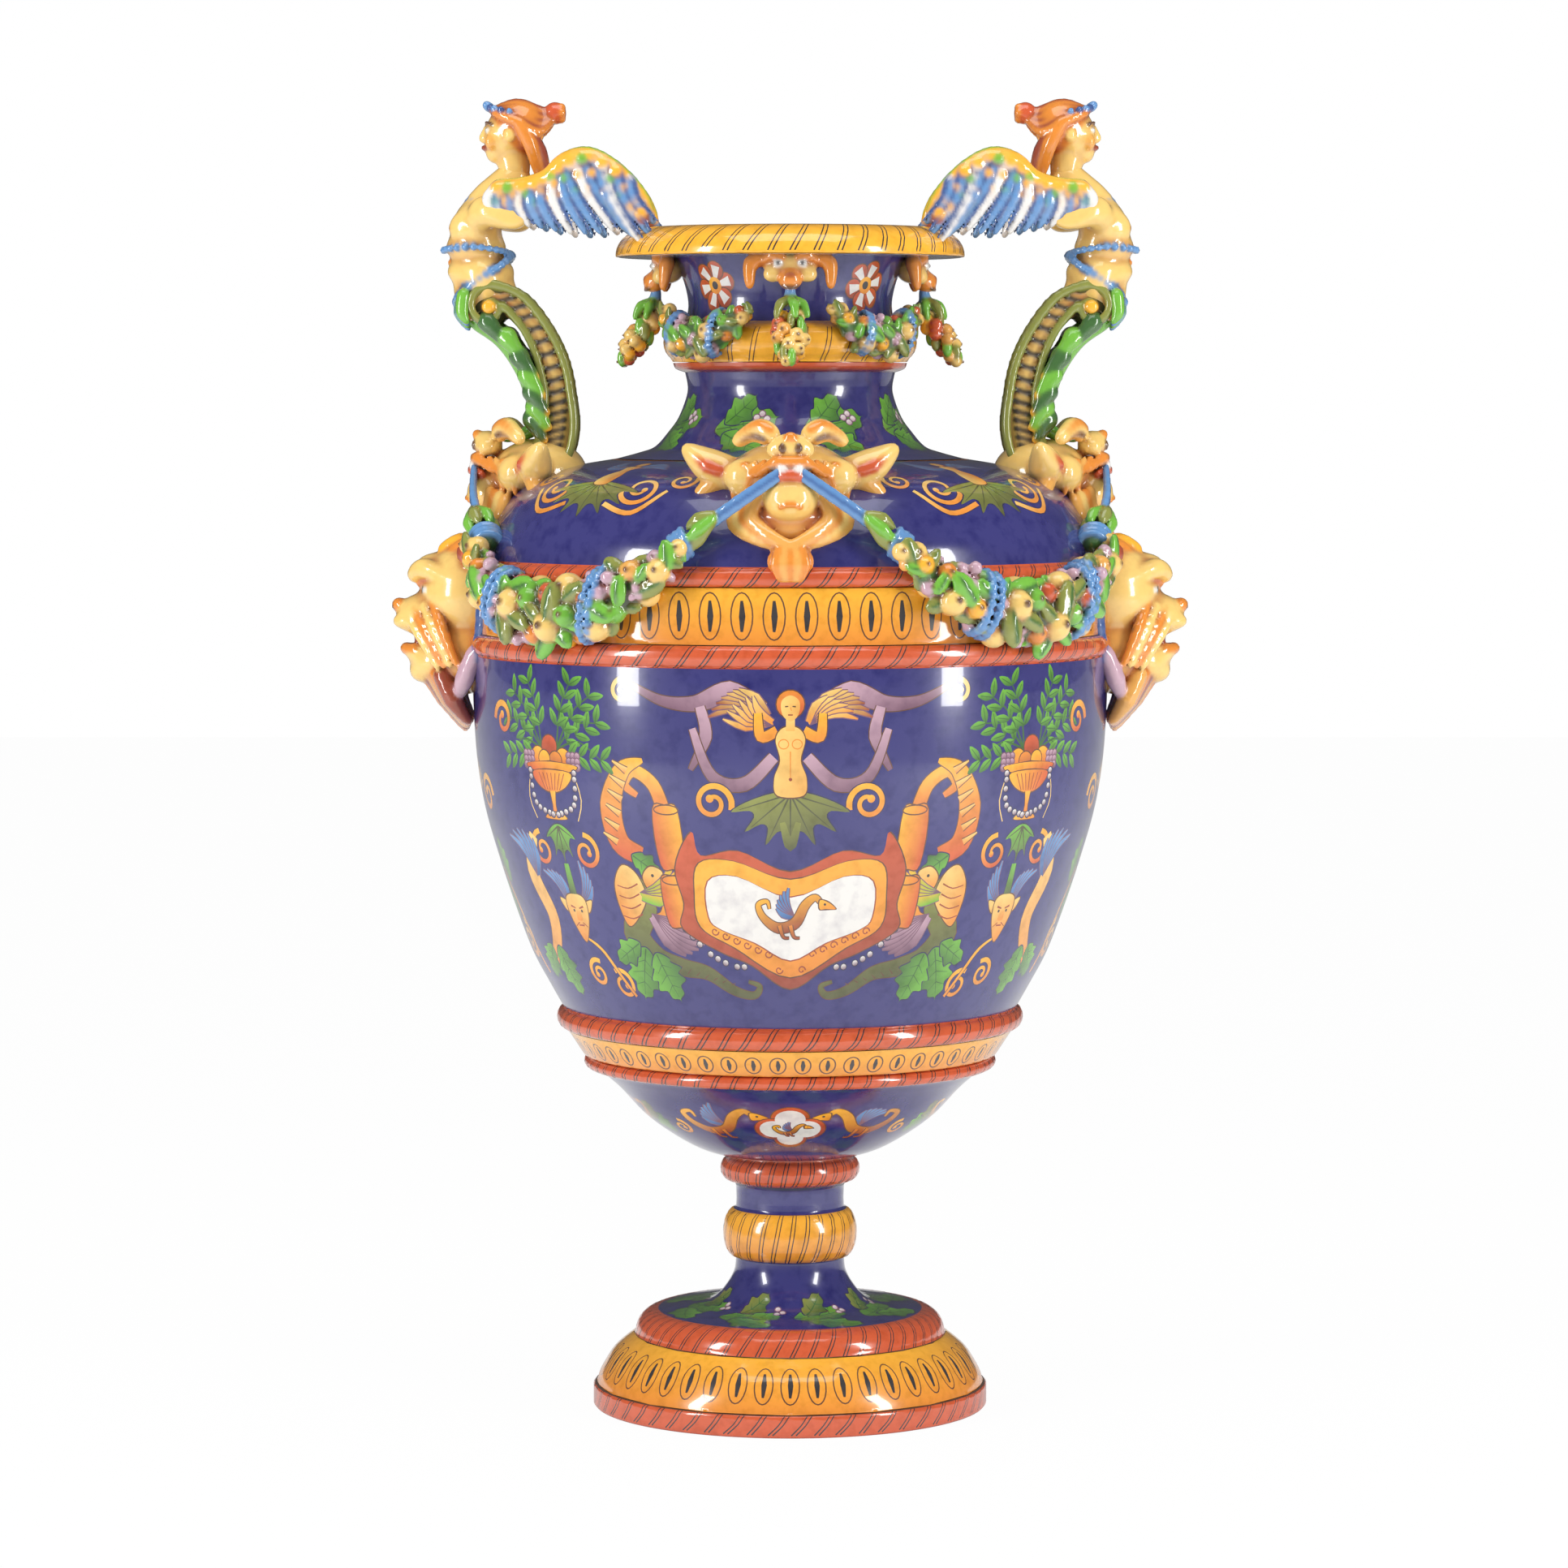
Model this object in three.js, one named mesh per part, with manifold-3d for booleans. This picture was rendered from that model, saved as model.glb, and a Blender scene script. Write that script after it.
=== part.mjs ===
// A large two-handled maiolica vase on a turned foot.
// Millimetres, +Z up, the origin under the middle of the foot, the front towards -Y.
// The body is thrown in sections that stand on one another on flat rings. A threaded rod through
// the hollow stem bolts foot, stem and bowl together. Handles, masks, garlands, ribbons and
// fruit are moulded apart and luted on, so each is cut to the wall that carries it.

import * as THREE from 'three';
import * as BufferGeometryUtils from 'three/addons/utils/BufferGeometryUtils.js';
import Module from 'manifold-3d';

const wasm = await Module();
wasm.setup();

// Clearances and walls
const CLEARANCE = 0.3;
const WALL = 11;
const FOOT_WALL = 13;
const TURN_SEGMENTS = 24;
const LARGE_LUMP = 35;

// Foot
const FOOT_RADIUS = 150.7;
const FOOT_BAND_HEIGHT = 17;
const FOOT_TORUS_RADIUS = 118;
const FOOT_TORUS_BASE = 56;
const FOOT_HEIGHT = 73;
const FOOT_TOP_RADIUS = 101;
const FOOT_FLOOR_THICKNESS = 15;

// Stem with its knop and collar
const STEM_HEIGHT = 119;
const STEM_RADIUS = 41.3;
const KNOP_RADIUS = 51.2;
const COLLAR_RADIUS = 53.3;
const STEM_BORE_RADIUS = 27;

// Heights of the body's sections, and the radius at each joint
const BOWL_HEIGHT = 67;
const BOWL_TOP_RADIUS = 147;
const BOWL_FLOOR_THICKNESS = 16;
const LOWER_BAND_HEIGHT = 49;
const BELLY_BASE_RADIUS = 173.5;
const BELLY_HEIGHT = 267;
const BELLY_RADIUS = 241;
const UPPER_BAND_HEIGHT = 73;
const SHOULDER_STEP = 5;
const SHOULDER_BASE_RADIUS = BELLY_RADIUS - SHOULDER_STEP;
const SHOULDER_HEIGHT = 75;
const NECK_BASE_RADIUS = 131;
const NECK_HEIGHT = 65;
const NECK_RADIUS = 77.5;
const NECK_BAND_HEIGHT = 38;
const NECK_BAND_RADIUS = 96;
const THROAT_HEIGHT = 48;
const THROAT_RADIUS = 77;
const THROAT_TOP_RADIUS = 88;
const RIM_HEIGHT = 23;
const RIM_RADIUS = 132;
const MOUTH_RADIUS = 76;

// Tie rod, nuts and washers
const ROD_RADIUS = 5;
const ROD_HOLE_RADIUS = 7;
const ROD_END = 9;
const NUT_WIDTH = 17;
const NUT_HEIGHT = 9;
const WASHER_RADIUS = 19;
const WASHER_THICKNESS = 3;

// Handles
const HANDLE_WIDTH = 44;
const VOLUTE_RADIUS = 20;
const HANDLE_REACH = SHOULDER_BASE_RADIUS - 9;
const HANDLE_FOOT_REACH = SHOULDER_BASE_RADIUS - 36;
const SCROLL_THICKNESS = 23;
const VOLUTE_DROP = 61;
const SIREN_RISE = 101;
const HEAD_RADIUS = 22;
const WING_THICKNESS = 9;
const WING_ROOT_OFFSET = 34;
const WING_TIP_OFFSET = 62;

// Reliefs
const SIDE_MASK_DEPTH = 66;
const GARLAND_DROP = 36;
const GARLAND_HALF_HEIGHT = 27;
const GARLAND_HALF_DEPTH = 22;
const NECK_GARLAND_HALF_HEIGHT = 18;
const NECK_GARLAND_HALF_DEPTH = 13;
const RIBBON_RADIUS = 5.5;

// Heights of the joints, each standing on the section below it
const STEM_BASE = FOOT_HEIGHT;
const BOWL_BASE = STEM_BASE + STEM_HEIGHT;
const LOWER_BAND_BASE = BOWL_BASE + BOWL_HEIGHT;
const BELLY_BASE = LOWER_BAND_BASE + LOWER_BAND_HEIGHT;
const UPPER_BAND_BASE = BELLY_BASE + BELLY_HEIGHT;
const SHOULDER_BASE = UPPER_BAND_BASE + UPPER_BAND_HEIGHT;
const NECK_BASE = SHOULDER_BASE + SHOULDER_HEIGHT;
const NECK_BAND_BASE = NECK_BASE + NECK_HEIGHT;
const THROAT_BASE = NECK_BAND_BASE + NECK_BAND_HEIGHT;
const RIM_BASE = THROAT_BASE + THROAT_HEIGHT;
const RIM_TOP = RIM_BASE + RIM_HEIGHT;

const COLOURS = {
  cobalt: [0x1b1a78, 0.12],
  yellow: [0xe8a01c, 0.12],
  orange: [0xd05a18, 0.12],
  olive: [0x84823a, 0.18],
  leaf: [0x7fc03c, 0.16],
  flesh: [0xe9c27c, 0.14],
  hair: [0xd35c12, 0.14],
  wing: [0x8aa6b0, 0.16],
  fruit: [0xa8b070, 0.18],
  ribbon: [0x6fa3d8, 0.16],
  iron: [0x55504a, 0.55],
};

// Closed meshes and solids

function toSolid(geometry) {
  const bare = geometry.index ? geometry.toNonIndexed() : geometry.clone();
  for (const name of Object.keys(bare.attributes)) {
    if (name !== 'position') bare.deleteAttribute(name);
  }
  const merged = BufferGeometryUtils.mergeVertices(bare, 1e-4);
  return new wasm.Manifold(new wasm.Mesh({
    numProp: 3,
    vertProperties: new Float32Array(merged.attributes.position.array),
    triVerts: new Uint32Array(merged.index.array),
  }));
}

function toGeometry(solid) {
  const mesh = solid.getMesh();
  const geometry = new THREE.BufferGeometry();
  geometry.setAttribute('position', new THREE.BufferAttribute(new Float32Array(mesh.vertProperties), 3));
  geometry.setIndex(new THREE.BufferAttribute(new Uint32Array(mesh.triVerts), 1));
  geometry.computeVertexNormals();
  return geometry;
}

function largestPiece(solid) {
  const pieces = solid.decompose();
  return pieces.reduce((best, piece) => (piece.volume() > best.volume() ? piece : best));
}

function union(solids) {
  return solids.reduce((sum, solid) => sum.add(solid));
}

function turned(profile) {
  const points = profile.map(([r, z]) => new THREE.Vector2(r, z));
  points.push(points[0].clone());
  const geometry = new THREE.LatheGeometry(points, TURN_SEGMENTS);
  geometry.rotateX(Math.PI / 2);
  return geometry;
}

function arc(centreR, centreZ, radiusR, radiusZ, from, to, steps) {
  const points = [];
  for (let i = 0; i <= steps; i += 1) {
    const angle = THREE.MathUtils.degToRad(from + (to - from) * i / steps);
    points.push([centreR + radiusR * Math.cos(angle), centreZ + radiusZ * Math.sin(angle)]);
  }
  return points;
}

function ellipsoid(centre, radii, grow = 0) {
  const large = Math.max(...radii) > LARGE_LUMP;
  const geometry = new THREE.SphereGeometry(1, large ? 8 : 6, large ? 5 : 4);
  geometry.scale(radii[0] + grow, radii[1] + grow, radii[2] + grow);
  geometry.translate(centre[0], centre[1], centre[2]);
  return toSolid(geometry);
}

const ALONG_X = new THREE.Vector3(1, 0, 0);
const ALONG_Y = new THREE.Vector3(0, 1, 0);
const ALONG_Z = new THREE.Vector3(0, 0, 1);

// A tube along a curve with an oval section: half its thickness square to the reference
// direction, and half its width near that direction
function taperedTube(points, sizes, sides, steps, reference, grow = 0) {
  const curve = new THREE.CatmullRomCurve3(points.map((p) => new THREE.Vector3(...p)));
  const sizeCurve = new THREE.CatmullRomCurve3(sizes.map((s) => new THREE.Vector3(s[0], s[1], 0)));
  const positions = [];
  for (let i = 0; i <= steps; i += 1) {
    const centre = curve.getPointAt(i / steps);
    const tangent = curve.getTangentAt(i / steps);
    const thick = new THREE.Vector3().crossVectors(reference, tangent).normalize();
    const wide = new THREE.Vector3().crossVectors(tangent, thick);
    const size = sizeCurve.getPoint(i / steps);
    for (let k = 0; k < sides; k += 1) {
      const angle = 2 * Math.PI * k / sides;
      const point = centre.clone();
      point.addScaledVector(thick, (size.x + grow) * Math.cos(angle));
      point.addScaledVector(wide, (size.y + grow) * Math.sin(angle));
      positions.push(point.x, point.y, point.z);
    }
  }
  const start = curve.getPointAt(0);
  const end = curve.getPointAt(1);
  positions.push(start.x, start.y, start.z, end.x, end.y, end.z);
  const index = [];
  const startIndex = (steps + 1) * sides;
  for (let k = 0; k < sides; k += 1) {
    const next = (k + 1) % sides;
    for (let i = 0; i < steps; i += 1) {
      const a = i * sides + k;
      const b = i * sides + next;
      index.push(a, b, b + sides, a, b + sides, a + sides);
    }
    index.push(startIndex, next, k);
    index.push(startIndex + 1, steps * sides + k, steps * sides + next);
  }
  const geometry = new THREE.BufferGeometry();
  geometry.setAttribute('position', new THREE.Float32BufferAttribute(positions, 3));
  geometry.setIndex(index);
  return toSolid(geometry);
}

// A flat outline in the XZ plane, thickened along Y about the middle
function plate(shape, width) {
  const geometry = new THREE.ExtrudeGeometry(shape, { depth: width, bevelEnabled: false, curveSegments: 5 });
  geometry.rotateX(Math.PI / 2);
  geometry.translate(0, width / 2, 0);
  return geometry;
}

// Outer profiles of the body's sections, from the floor up

const foot = [
  [FOOT_RADIUS, 0],
  [FOOT_RADIUS, FOOT_BAND_HEIGHT - 1],
  [FOOT_RADIUS - 3, FOOT_BAND_HEIGHT + 2],
  [FOOT_RADIUS - 7.5, FOOT_BAND_HEIGHT + 12],
  [FOOT_RADIUS - 15, FOOT_BAND_HEIGHT + 24],
  [FOOT_TORUS_RADIUS + 2, FOOT_TORUS_BASE - 2],
  ...arc(FOOT_TOP_RADIUS, FOOT_TORUS_BASE, FOOT_TORUS_RADIUS - FOOT_TOP_RADIUS,
    FOOT_HEIGHT - FOOT_TORUS_BASE, 0, 90, 3),
];

const stem = [
  [FOOT_TOP_RADIUS, STEM_BASE],
  [STEM_RADIUS + 21, STEM_BASE + 5],
  [STEM_RADIUS + 9, STEM_BASE + 15],
  [STEM_RADIUS + 2, STEM_BASE + 27],
  [STEM_RADIUS, STEM_BASE + 38],
  ...arc(STEM_RADIUS, STEM_BASE + 59, KNOP_RADIUS - STEM_RADIUS, 19, -80, 80, 3),
  [STEM_RADIUS, STEM_BASE + 79],
  [STEM_RADIUS, STEM_BASE + 97],
  ...arc(STEM_RADIUS + 4, STEM_BASE + 109, COLLAR_RADIUS - STEM_RADIUS - 4, 9.5, -80, 80, 3),
  [STEM_RADIUS + 5, BOWL_BASE],
];

const bowl = [
  [STEM_RADIUS + 5, BOWL_BASE],
  [BOWL_TOP_RADIUS * 0.415, BOWL_BASE + 3],
  [BOWL_TOP_RADIUS * 0.59, BOWL_BASE + 16],
  [BOWL_TOP_RADIUS * 0.765, BOWL_BASE + 34],
  [BOWL_TOP_RADIUS * 0.885, BOWL_BASE + 50],
  [BOWL_TOP_RADIUS, LOWER_BAND_BASE],
];

const lowerBand = [
  [BOWL_TOP_RADIUS, LOWER_BAND_BASE],
  ...arc(BOWL_TOP_RADIUS + 5, LOWER_BAND_BASE + 6, 6, 5, -70, 70, 2),
  [BOWL_TOP_RADIUS + 15, LOWER_BAND_BASE + 18],
  [BELLY_BASE_RADIUS - 3, LOWER_BAND_BASE + 31],
  ...arc(BELLY_BASE_RADIUS - 1, LOWER_BAND_BASE + 40, 6, 7.5, -70, 70, 2),
  [BELLY_BASE_RADIUS, BELLY_BASE],
];

const belly = [
  [BELLY_BASE_RADIUS, BELLY_BASE],
  [BELLY_RADIUS - 45, BELLY_BASE + BELLY_HEIGHT * 0.157],
  [BELLY_RADIUS - 31, BELLY_BASE + BELLY_HEIGHT * 0.296],
  [BELLY_RADIUS - 19, BELLY_BASE + BELLY_HEIGHT * 0.434],
  [BELLY_RADIUS - 9, BELLY_BASE + BELLY_HEIGHT * 0.569],
  [BELLY_RADIUS - 3, BELLY_BASE + BELLY_HEIGHT * 0.72],
  [BELLY_RADIUS, BELLY_BASE + BELLY_HEIGHT * 0.88],
  [BELLY_RADIUS, UPPER_BAND_BASE],
];

const upperBand = [
  [BELLY_RADIUS, UPPER_BAND_BASE],
  ...arc(BELLY_RADIUS - 2, UPPER_BAND_BASE + 8, 5, 7, -70, 70, 2),
  [BELLY_RADIUS - 3, UPPER_BAND_BASE + 18],
  [BELLY_RADIUS - 3, UPPER_BAND_BASE + UPPER_BAND_HEIGHT - 15],
  ...arc(SHOULDER_BASE_RADIUS, UPPER_BAND_BASE + UPPER_BAND_HEIGHT - 7, 5, 6.5, -70, 70, 2),
  [SHOULDER_BASE_RADIUS, SHOULDER_BASE],
];

const shoulderWidth = SHOULDER_BASE_RADIUS - NECK_BASE_RADIUS;
const shoulder = [
  [SHOULDER_BASE_RADIUS, SHOULDER_BASE],
  [SHOULDER_BASE_RADIUS - shoulderWidth * 0.1, SHOULDER_BASE + SHOULDER_HEIGHT * 0.37],
  [SHOULDER_BASE_RADIUS - shoulderWidth * 0.25, SHOULDER_BASE + SHOULDER_HEIGHT * 0.7],
  [SHOULDER_BASE_RADIUS - shoulderWidth * 0.43, SHOULDER_BASE + SHOULDER_HEIGHT * 0.85],
  [SHOULDER_BASE_RADIUS - shoulderWidth * 0.68, SHOULDER_BASE + SHOULDER_HEIGHT * 0.94],
  [NECK_BASE_RADIUS, NECK_BASE],
];

const neckFlare = NECK_BASE_RADIUS - NECK_RADIUS;
const neck = [
  [NECK_BASE_RADIUS, NECK_BASE],
  [NECK_BASE_RADIUS - neckFlare * 0.5, NECK_BASE + NECK_HEIGHT * 0.14],
  [NECK_BASE_RADIUS - neckFlare * 0.75, NECK_BASE + NECK_HEIGHT * 0.33],
  [NECK_BASE_RADIUS - neckFlare * 0.92, NECK_BASE + NECK_HEIGHT * 0.55],
  [NECK_RADIUS, NECK_BASE + NECK_HEIGHT * 0.78],
  [NECK_RADIUS + 2, NECK_BAND_BASE],
];

const neckBand = [
  [NECK_RADIUS + 2, NECK_BAND_BASE],
  [NECK_BAND_RADIUS - 9, NECK_BAND_BASE + 5],
  ...arc(NECK_BAND_RADIUS - 14, NECK_BAND_BASE + 20, 14, 15, -60, 80, 3),
  [THROAT_RADIUS + 2, THROAT_BASE],
];

const throat = [
  [THROAT_RADIUS + 2, THROAT_BASE],
  [THROAT_RADIUS, THROAT_BASE + THROAT_HEIGHT * 0.25],
  [THROAT_RADIUS + 2, THROAT_BASE + THROAT_HEIGHT * 0.55],
  [THROAT_TOP_RADIUS - 4, THROAT_BASE + THROAT_HEIGHT * 0.85],
  [THROAT_TOP_RADIUS, RIM_BASE],
];

const rim = [
  [THROAT_TOP_RADIUS, RIM_BASE],
  [RIM_RADIUS - 1, RIM_BASE],
  ...arc(RIM_RADIUS - 27, RIM_BASE + 2, 27, RIM_HEIGHT - 2, 0, 90, 4),
];

// The whole outside as one filled solid, a little larger, to cut whatever is luted on

function grown(profile, distance) {
  return profile.map(([r, z], i) => {
    const [r0, z0] = profile[Math.max(i - 1, 0)];
    const [r1, z1] = profile[Math.min(i + 1, profile.length - 1)];
    const length = Math.hypot(r1 - r0, z1 - z0);
    return [r + distance * (z1 - z0) / length, z - distance * (r1 - r0) / length];
  });
}

const sections = [foot, stem, bowl, lowerBand, belly, upperBand, shoulder, neck, neckBand, throat, rim];
const outside = sections.flatMap((section, i) => (i ? section.slice(1) : section));
const outsideCutter = toSolid(turned([[0, 0], ...grown(outside, CLEARANCE), [0, RIM_TOP + CLEARANCE]]));

function wallRadius(z) {
  for (let i = 1; i < outside.length; i += 1) {
    const [r0, z0] = outside[i - 1];
    const [r1, z1] = outside[i];
    if (z >= z0 && z <= z1 && z1 > z0) return r0 + (r1 - r0) * (z - z0) / (z1 - z0);
  }
  return outside[outside.length - 1][0];
}

function shoulderTop(radius) {
  for (let i = 1; i < shoulder.length; i += 1) {
    const [r0, z0] = shoulder[i - 1];
    const [r1, z1] = shoulder[i];
    if (radius <= r0 && radius >= r1) return z0 + (z1 - z0) * (r0 - radius) / (r0 - r1);
  }
  return NECK_BASE;
}

const lute = (solid) => largestPiece(solid.subtract(outsideCutter));

// Assembly

const group = new THREE.Group();

function addMesh(name, geometry, colour, metalness = 0, turn = 0) {
  const [hex, roughness] = COLOURS[colour];
  const material = new THREE.MeshStandardMaterial({ color: hex, roughness, metalness });
  const mesh = new THREE.Mesh(geometry, material);
  mesh.name = name;
  mesh.rotation.z = turn;
  group.add(mesh);
}

// Thrown sections, each a ring with its inner wall from the top down

const inset = ([r, z]) => [r - WALL, z];

addMesh('foot', turned([
  ...foot,
  [ROD_HOLE_RADIUS, FOOT_HEIGHT],
  [ROD_HOLE_RADIUS, FOOT_HEIGHT - FOOT_FLOOR_THICKNESS],
  [FOOT_TOP_RADIUS - FOOT_WALL, FOOT_HEIGHT - FOOT_FLOOR_THICKNESS],
  [FOOT_RADIUS - FOOT_WALL - 6, FOOT_BAND_HEIGHT],
  [FOOT_RADIUS - FOOT_WALL, 0],
]), 'yellow');

addMesh('stem', turned([
  ...stem,
  [STEM_BORE_RADIUS, BOWL_BASE],
  [STEM_BORE_RADIUS, STEM_BASE + 30],
  [STEM_BORE_RADIUS + 23, STEM_BASE],
]), 'cobalt');

addMesh('bowl', turned([
  ...bowl,
  [BOWL_TOP_RADIUS - WALL, LOWER_BAND_BASE],
  [BOWL_TOP_RADIUS * 0.765 - WALL, BOWL_BASE + 40],
  [BOWL_TOP_RADIUS * 0.44 - WALL, BOWL_BASE + BOWL_FLOOR_THICKNESS],
  [ROD_HOLE_RADIUS, BOWL_BASE + BOWL_FLOOR_THICKNESS],
  [ROD_HOLE_RADIUS, BOWL_BASE],
]), 'cobalt');

addMesh('lower_band', turned([
  ...lowerBand,
  [BELLY_BASE_RADIUS - WALL, BELLY_BASE],
  [BOWL_TOP_RADIUS - WALL, LOWER_BAND_BASE],
]), 'yellow');

addMesh('belly', turned([
  ...belly,
  inset(belly[7]), inset(belly[5]), inset(belly[3]), inset(belly[1]), inset(belly[0]),
]), 'cobalt');

addMesh('upper_band', turned([
  ...upperBand,
  [SHOULDER_BASE_RADIUS - WALL, SHOULDER_BASE],
  [BELLY_RADIUS - WALL, UPPER_BAND_BASE],
]), 'yellow');

addMesh('shoulder', turned([
  ...shoulder,
  [NECK_BASE_RADIUS - WALL - 5, NECK_BASE],
  [SHOULDER_BASE_RADIUS - shoulderWidth * 0.7, SHOULDER_BASE + SHOULDER_HEIGHT * 0.94 - WALL],
  [SHOULDER_BASE_RADIUS - shoulderWidth * 0.3, SHOULDER_BASE + SHOULDER_HEIGHT * 0.7 - WALL],
  [SHOULDER_BASE_RADIUS - WALL, SHOULDER_BASE],
]), 'cobalt');

addMesh('neck', turned([
  ...neck,
  [NECK_RADIUS + 2 - WALL, NECK_BAND_BASE],
  [NECK_RADIUS - WALL, NECK_BASE + NECK_HEIGHT * 0.6],
  [NECK_BASE_RADIUS - neckFlare * 0.55 - WALL, NECK_BASE + NECK_HEIGHT * 0.14],
  [NECK_BASE_RADIUS - WALL - 5, NECK_BASE],
]), 'cobalt');

addMesh('neck_band', turned([
  ...neckBand,
  [THROAT_RADIUS + 2 - WALL, THROAT_BASE],
  [NECK_RADIUS + 2 - WALL, NECK_BAND_BASE],
]), 'yellow');

addMesh('throat', turned([
  ...throat,
  [THROAT_TOP_RADIUS - WALL, RIM_BASE],
  [THROAT_RADIUS + 2 - WALL, THROAT_BASE],
]), 'cobalt');

addMesh('rim', turned([
  ...rim,
  [MOUTH_RADIUS + 12, RIM_TOP],
  [MOUTH_RADIUS + 1, RIM_BASE + RIM_HEIGHT / 2],
  [THROAT_TOP_RADIUS - WALL, RIM_BASE],
]), 'yellow');

// Bolting: the rod runs from under the foot's floor to inside the bowl

const FOOT_CEILING = FOOT_HEIGHT - FOOT_FLOOR_THICKNESS;
const BOWL_FLOOR = BOWL_BASE + BOWL_FLOOR_THICKNESS;
const ROD_BOTTOM = FOOT_CEILING - WASHER_THICKNESS - NUT_HEIGHT - ROD_END;
const ROD_TOP = BOWL_FLOOR + WASHER_THICKNESS + NUT_HEIGHT + ROD_END;
const NUT_BORE = ROD_RADIUS + CLEARANCE;

function ringPlate(radius, bore, thickness, base, sides) {
  const profile = [[bore, 0], [radius, 0], [radius, thickness], [bore, thickness], [bore, 0]];
  const geometry = new THREE.LatheGeometry(profile.map(([r, z]) => new THREE.Vector2(r, z)), sides);
  geometry.rotateX(Math.PI / 2);
  geometry.translate(0, 0, base);
  return geometry;
}

const rod = new THREE.CylinderGeometry(ROD_RADIUS, ROD_RADIUS, ROD_TOP - ROD_BOTTOM, 18);
rod.rotateX(Math.PI / 2);
rod.translate(0, 0, (ROD_TOP + ROD_BOTTOM) / 2);
addMesh('tie_rod', rod, 'iron', 0.9);

const nutRadius = NUT_WIDTH / Math.sqrt(3);
const washer = (base) => ringPlate(WASHER_RADIUS, ROD_HOLE_RADIUS - 1, WASHER_THICKNESS, base, 24);

function nut(base) {
  const hex = new THREE.CylinderGeometry(nutRadius, nutRadius, NUT_HEIGHT, 6);
  hex.rotateX(Math.PI / 2);
  const bore = new THREE.CylinderGeometry(NUT_BORE, NUT_BORE, NUT_HEIGHT * 2, 18);
  bore.rotateX(Math.PI / 2);
  const geometry = toGeometry(toSolid(hex).subtract(toSolid(bore)));
  geometry.translate(0, 0, base + NUT_HEIGHT / 2);
  return geometry;
}

addMesh('lower_washer', washer(FOOT_CEILING - WASHER_THICKNESS), 'iron', 0.9);
addMesh('lower_nut', nut(FOOT_CEILING - WASHER_THICKNESS - NUT_HEIGHT), 'iron', 0.9);
addMesh('upper_washer', washer(BOWL_FLOOR), 'iron', 0.9);
addMesh('upper_nut', nut(BOWL_FLOOR + WASHER_THICKNESS), 'iron', 0.9);

// Handle: a C-scroll from the shoulder up to the volute, the siren on it, her wings on the rim.
// It is modelled on the right and mirrored by a half turn, since it is the same on both faces.

const footTop = shoulderTop(HANDLE_FOOT_REACH);
const voluteCentre = [HANDLE_REACH, RIM_TOP - VOLUTE_DROP];
const scrollRise = voluteCentre[1] - footTop;
const rollCentre = [HANDLE_FOOT_REACH + 7, footTop + 9];

// Places along the scroll: how far in from the volute, and the share of its rise
const scrollLine = new THREE.SplineCurve([
  [-20, 0.07], [-38, 0.1], [-49, 0.2], [-53, 0.36], [-51, 0.55], [-46, 0.73], [-35, 0.9], [-19, 1.04], [-3, 1.075],
].map(([inward, share]) => new THREE.Vector2(HANDLE_REACH + inward, footTop + share * scrollRise)));

function scrollSolid(grow) {
  const steps = 14;
  const inner = [];
  const outer = [];
  for (let i = 0; i <= steps; i += 1) {
    const point = scrollLine.getPoint(i / steps);
    const tangent = scrollLine.getTangent(i / steps);
    const half = SCROLL_THICKNESS / 2 * (1 - 0.35 * (i / steps) ** 2) + grow;
    outer.push(new THREE.Vector2(point.x - tangent.y * half, point.y + tangent.x * half));
    inner.push(new THREE.Vector2(point.x + tangent.y * half, point.y - tangent.x * half));
  }
  const band = toSolid(plate(new THREE.Shape([...outer, ...inner.reverse()]), HANDLE_WIDTH + 2 * grow));
  const volute = new THREE.CylinderGeometry(VOLUTE_RADIUS + grow, VOLUTE_RADIUS + grow, HANDLE_WIDTH + 2 * grow, 20);
  volute.translate(voluteCentre[0], 0, voluteCentre[1]);
  const rollRadius = SCROLL_THICKNESS / 2 + grow;
  const roll = new THREE.CylinderGeometry(rollRadius, rollRadius, HANDLE_WIDTH + 6 + 2 * grow, 14);
  roll.translate(rollCentre[0], 0, rollCentre[1]);
  return union([band, toSolid(volute), toSolid(roll)]);
}

const scrollCutter = scrollSolid(CLEARANCE);
const handleScroll = lute(scrollSolid(0));

// Siren: hips on the volute, torso, neck and head
const sirenBase = voluteCentre[1];
const sirenPlace = ([x, up]) => [HANDLE_REACH + x, 0, sirenBase + up * SIREN_RISE / 101];

function torsoSolid(grow) {
  return taperedTube(
    [[20, -14], [20, 4], [7, 20], [7, 45], [10, 62], [-3, 80], [-14, 96]].map(sirenPlace),
    [[6, 9], [19, 22], [26, 28], [24, 26], [20, 30], [22, 34], [11, 12]], 10, 10, ALONG_Y, grow,
  );
}

const torso = largestPiece(torsoSolid(0).subtract(scrollCutter).subtract(outsideCutter));
const torsoCutter = torsoSolid(CLEARANCE);

// Acanthus leaf along the outer side of the scroll, its tip curling away
const leafPlace = ([inward, share]) => [HANDLE_REACH + inward, 0, footTop + share * scrollRise];
function leafSolid(grow) {
  return taperedTube(
    [[14, 0.93], [-6, 0.8], [-20, 0.6], [-26, 0.42], [-21, 0.3], [-8, 0.22]].map(leafPlace),
    [[5, 16], [10, 20], [10, 19], [8, 15], [6, 9], [3, 4]], 8, 9, ALONG_Y, grow,
  );
}

const acanthus = largestPiece(leafSolid(0).subtract(scrollCutter).subtract(torsoCutter).subtract(outsideCutter));

const headCentre = [HANDLE_REACH - 17, 0, RIM_TOP + 76];

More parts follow.
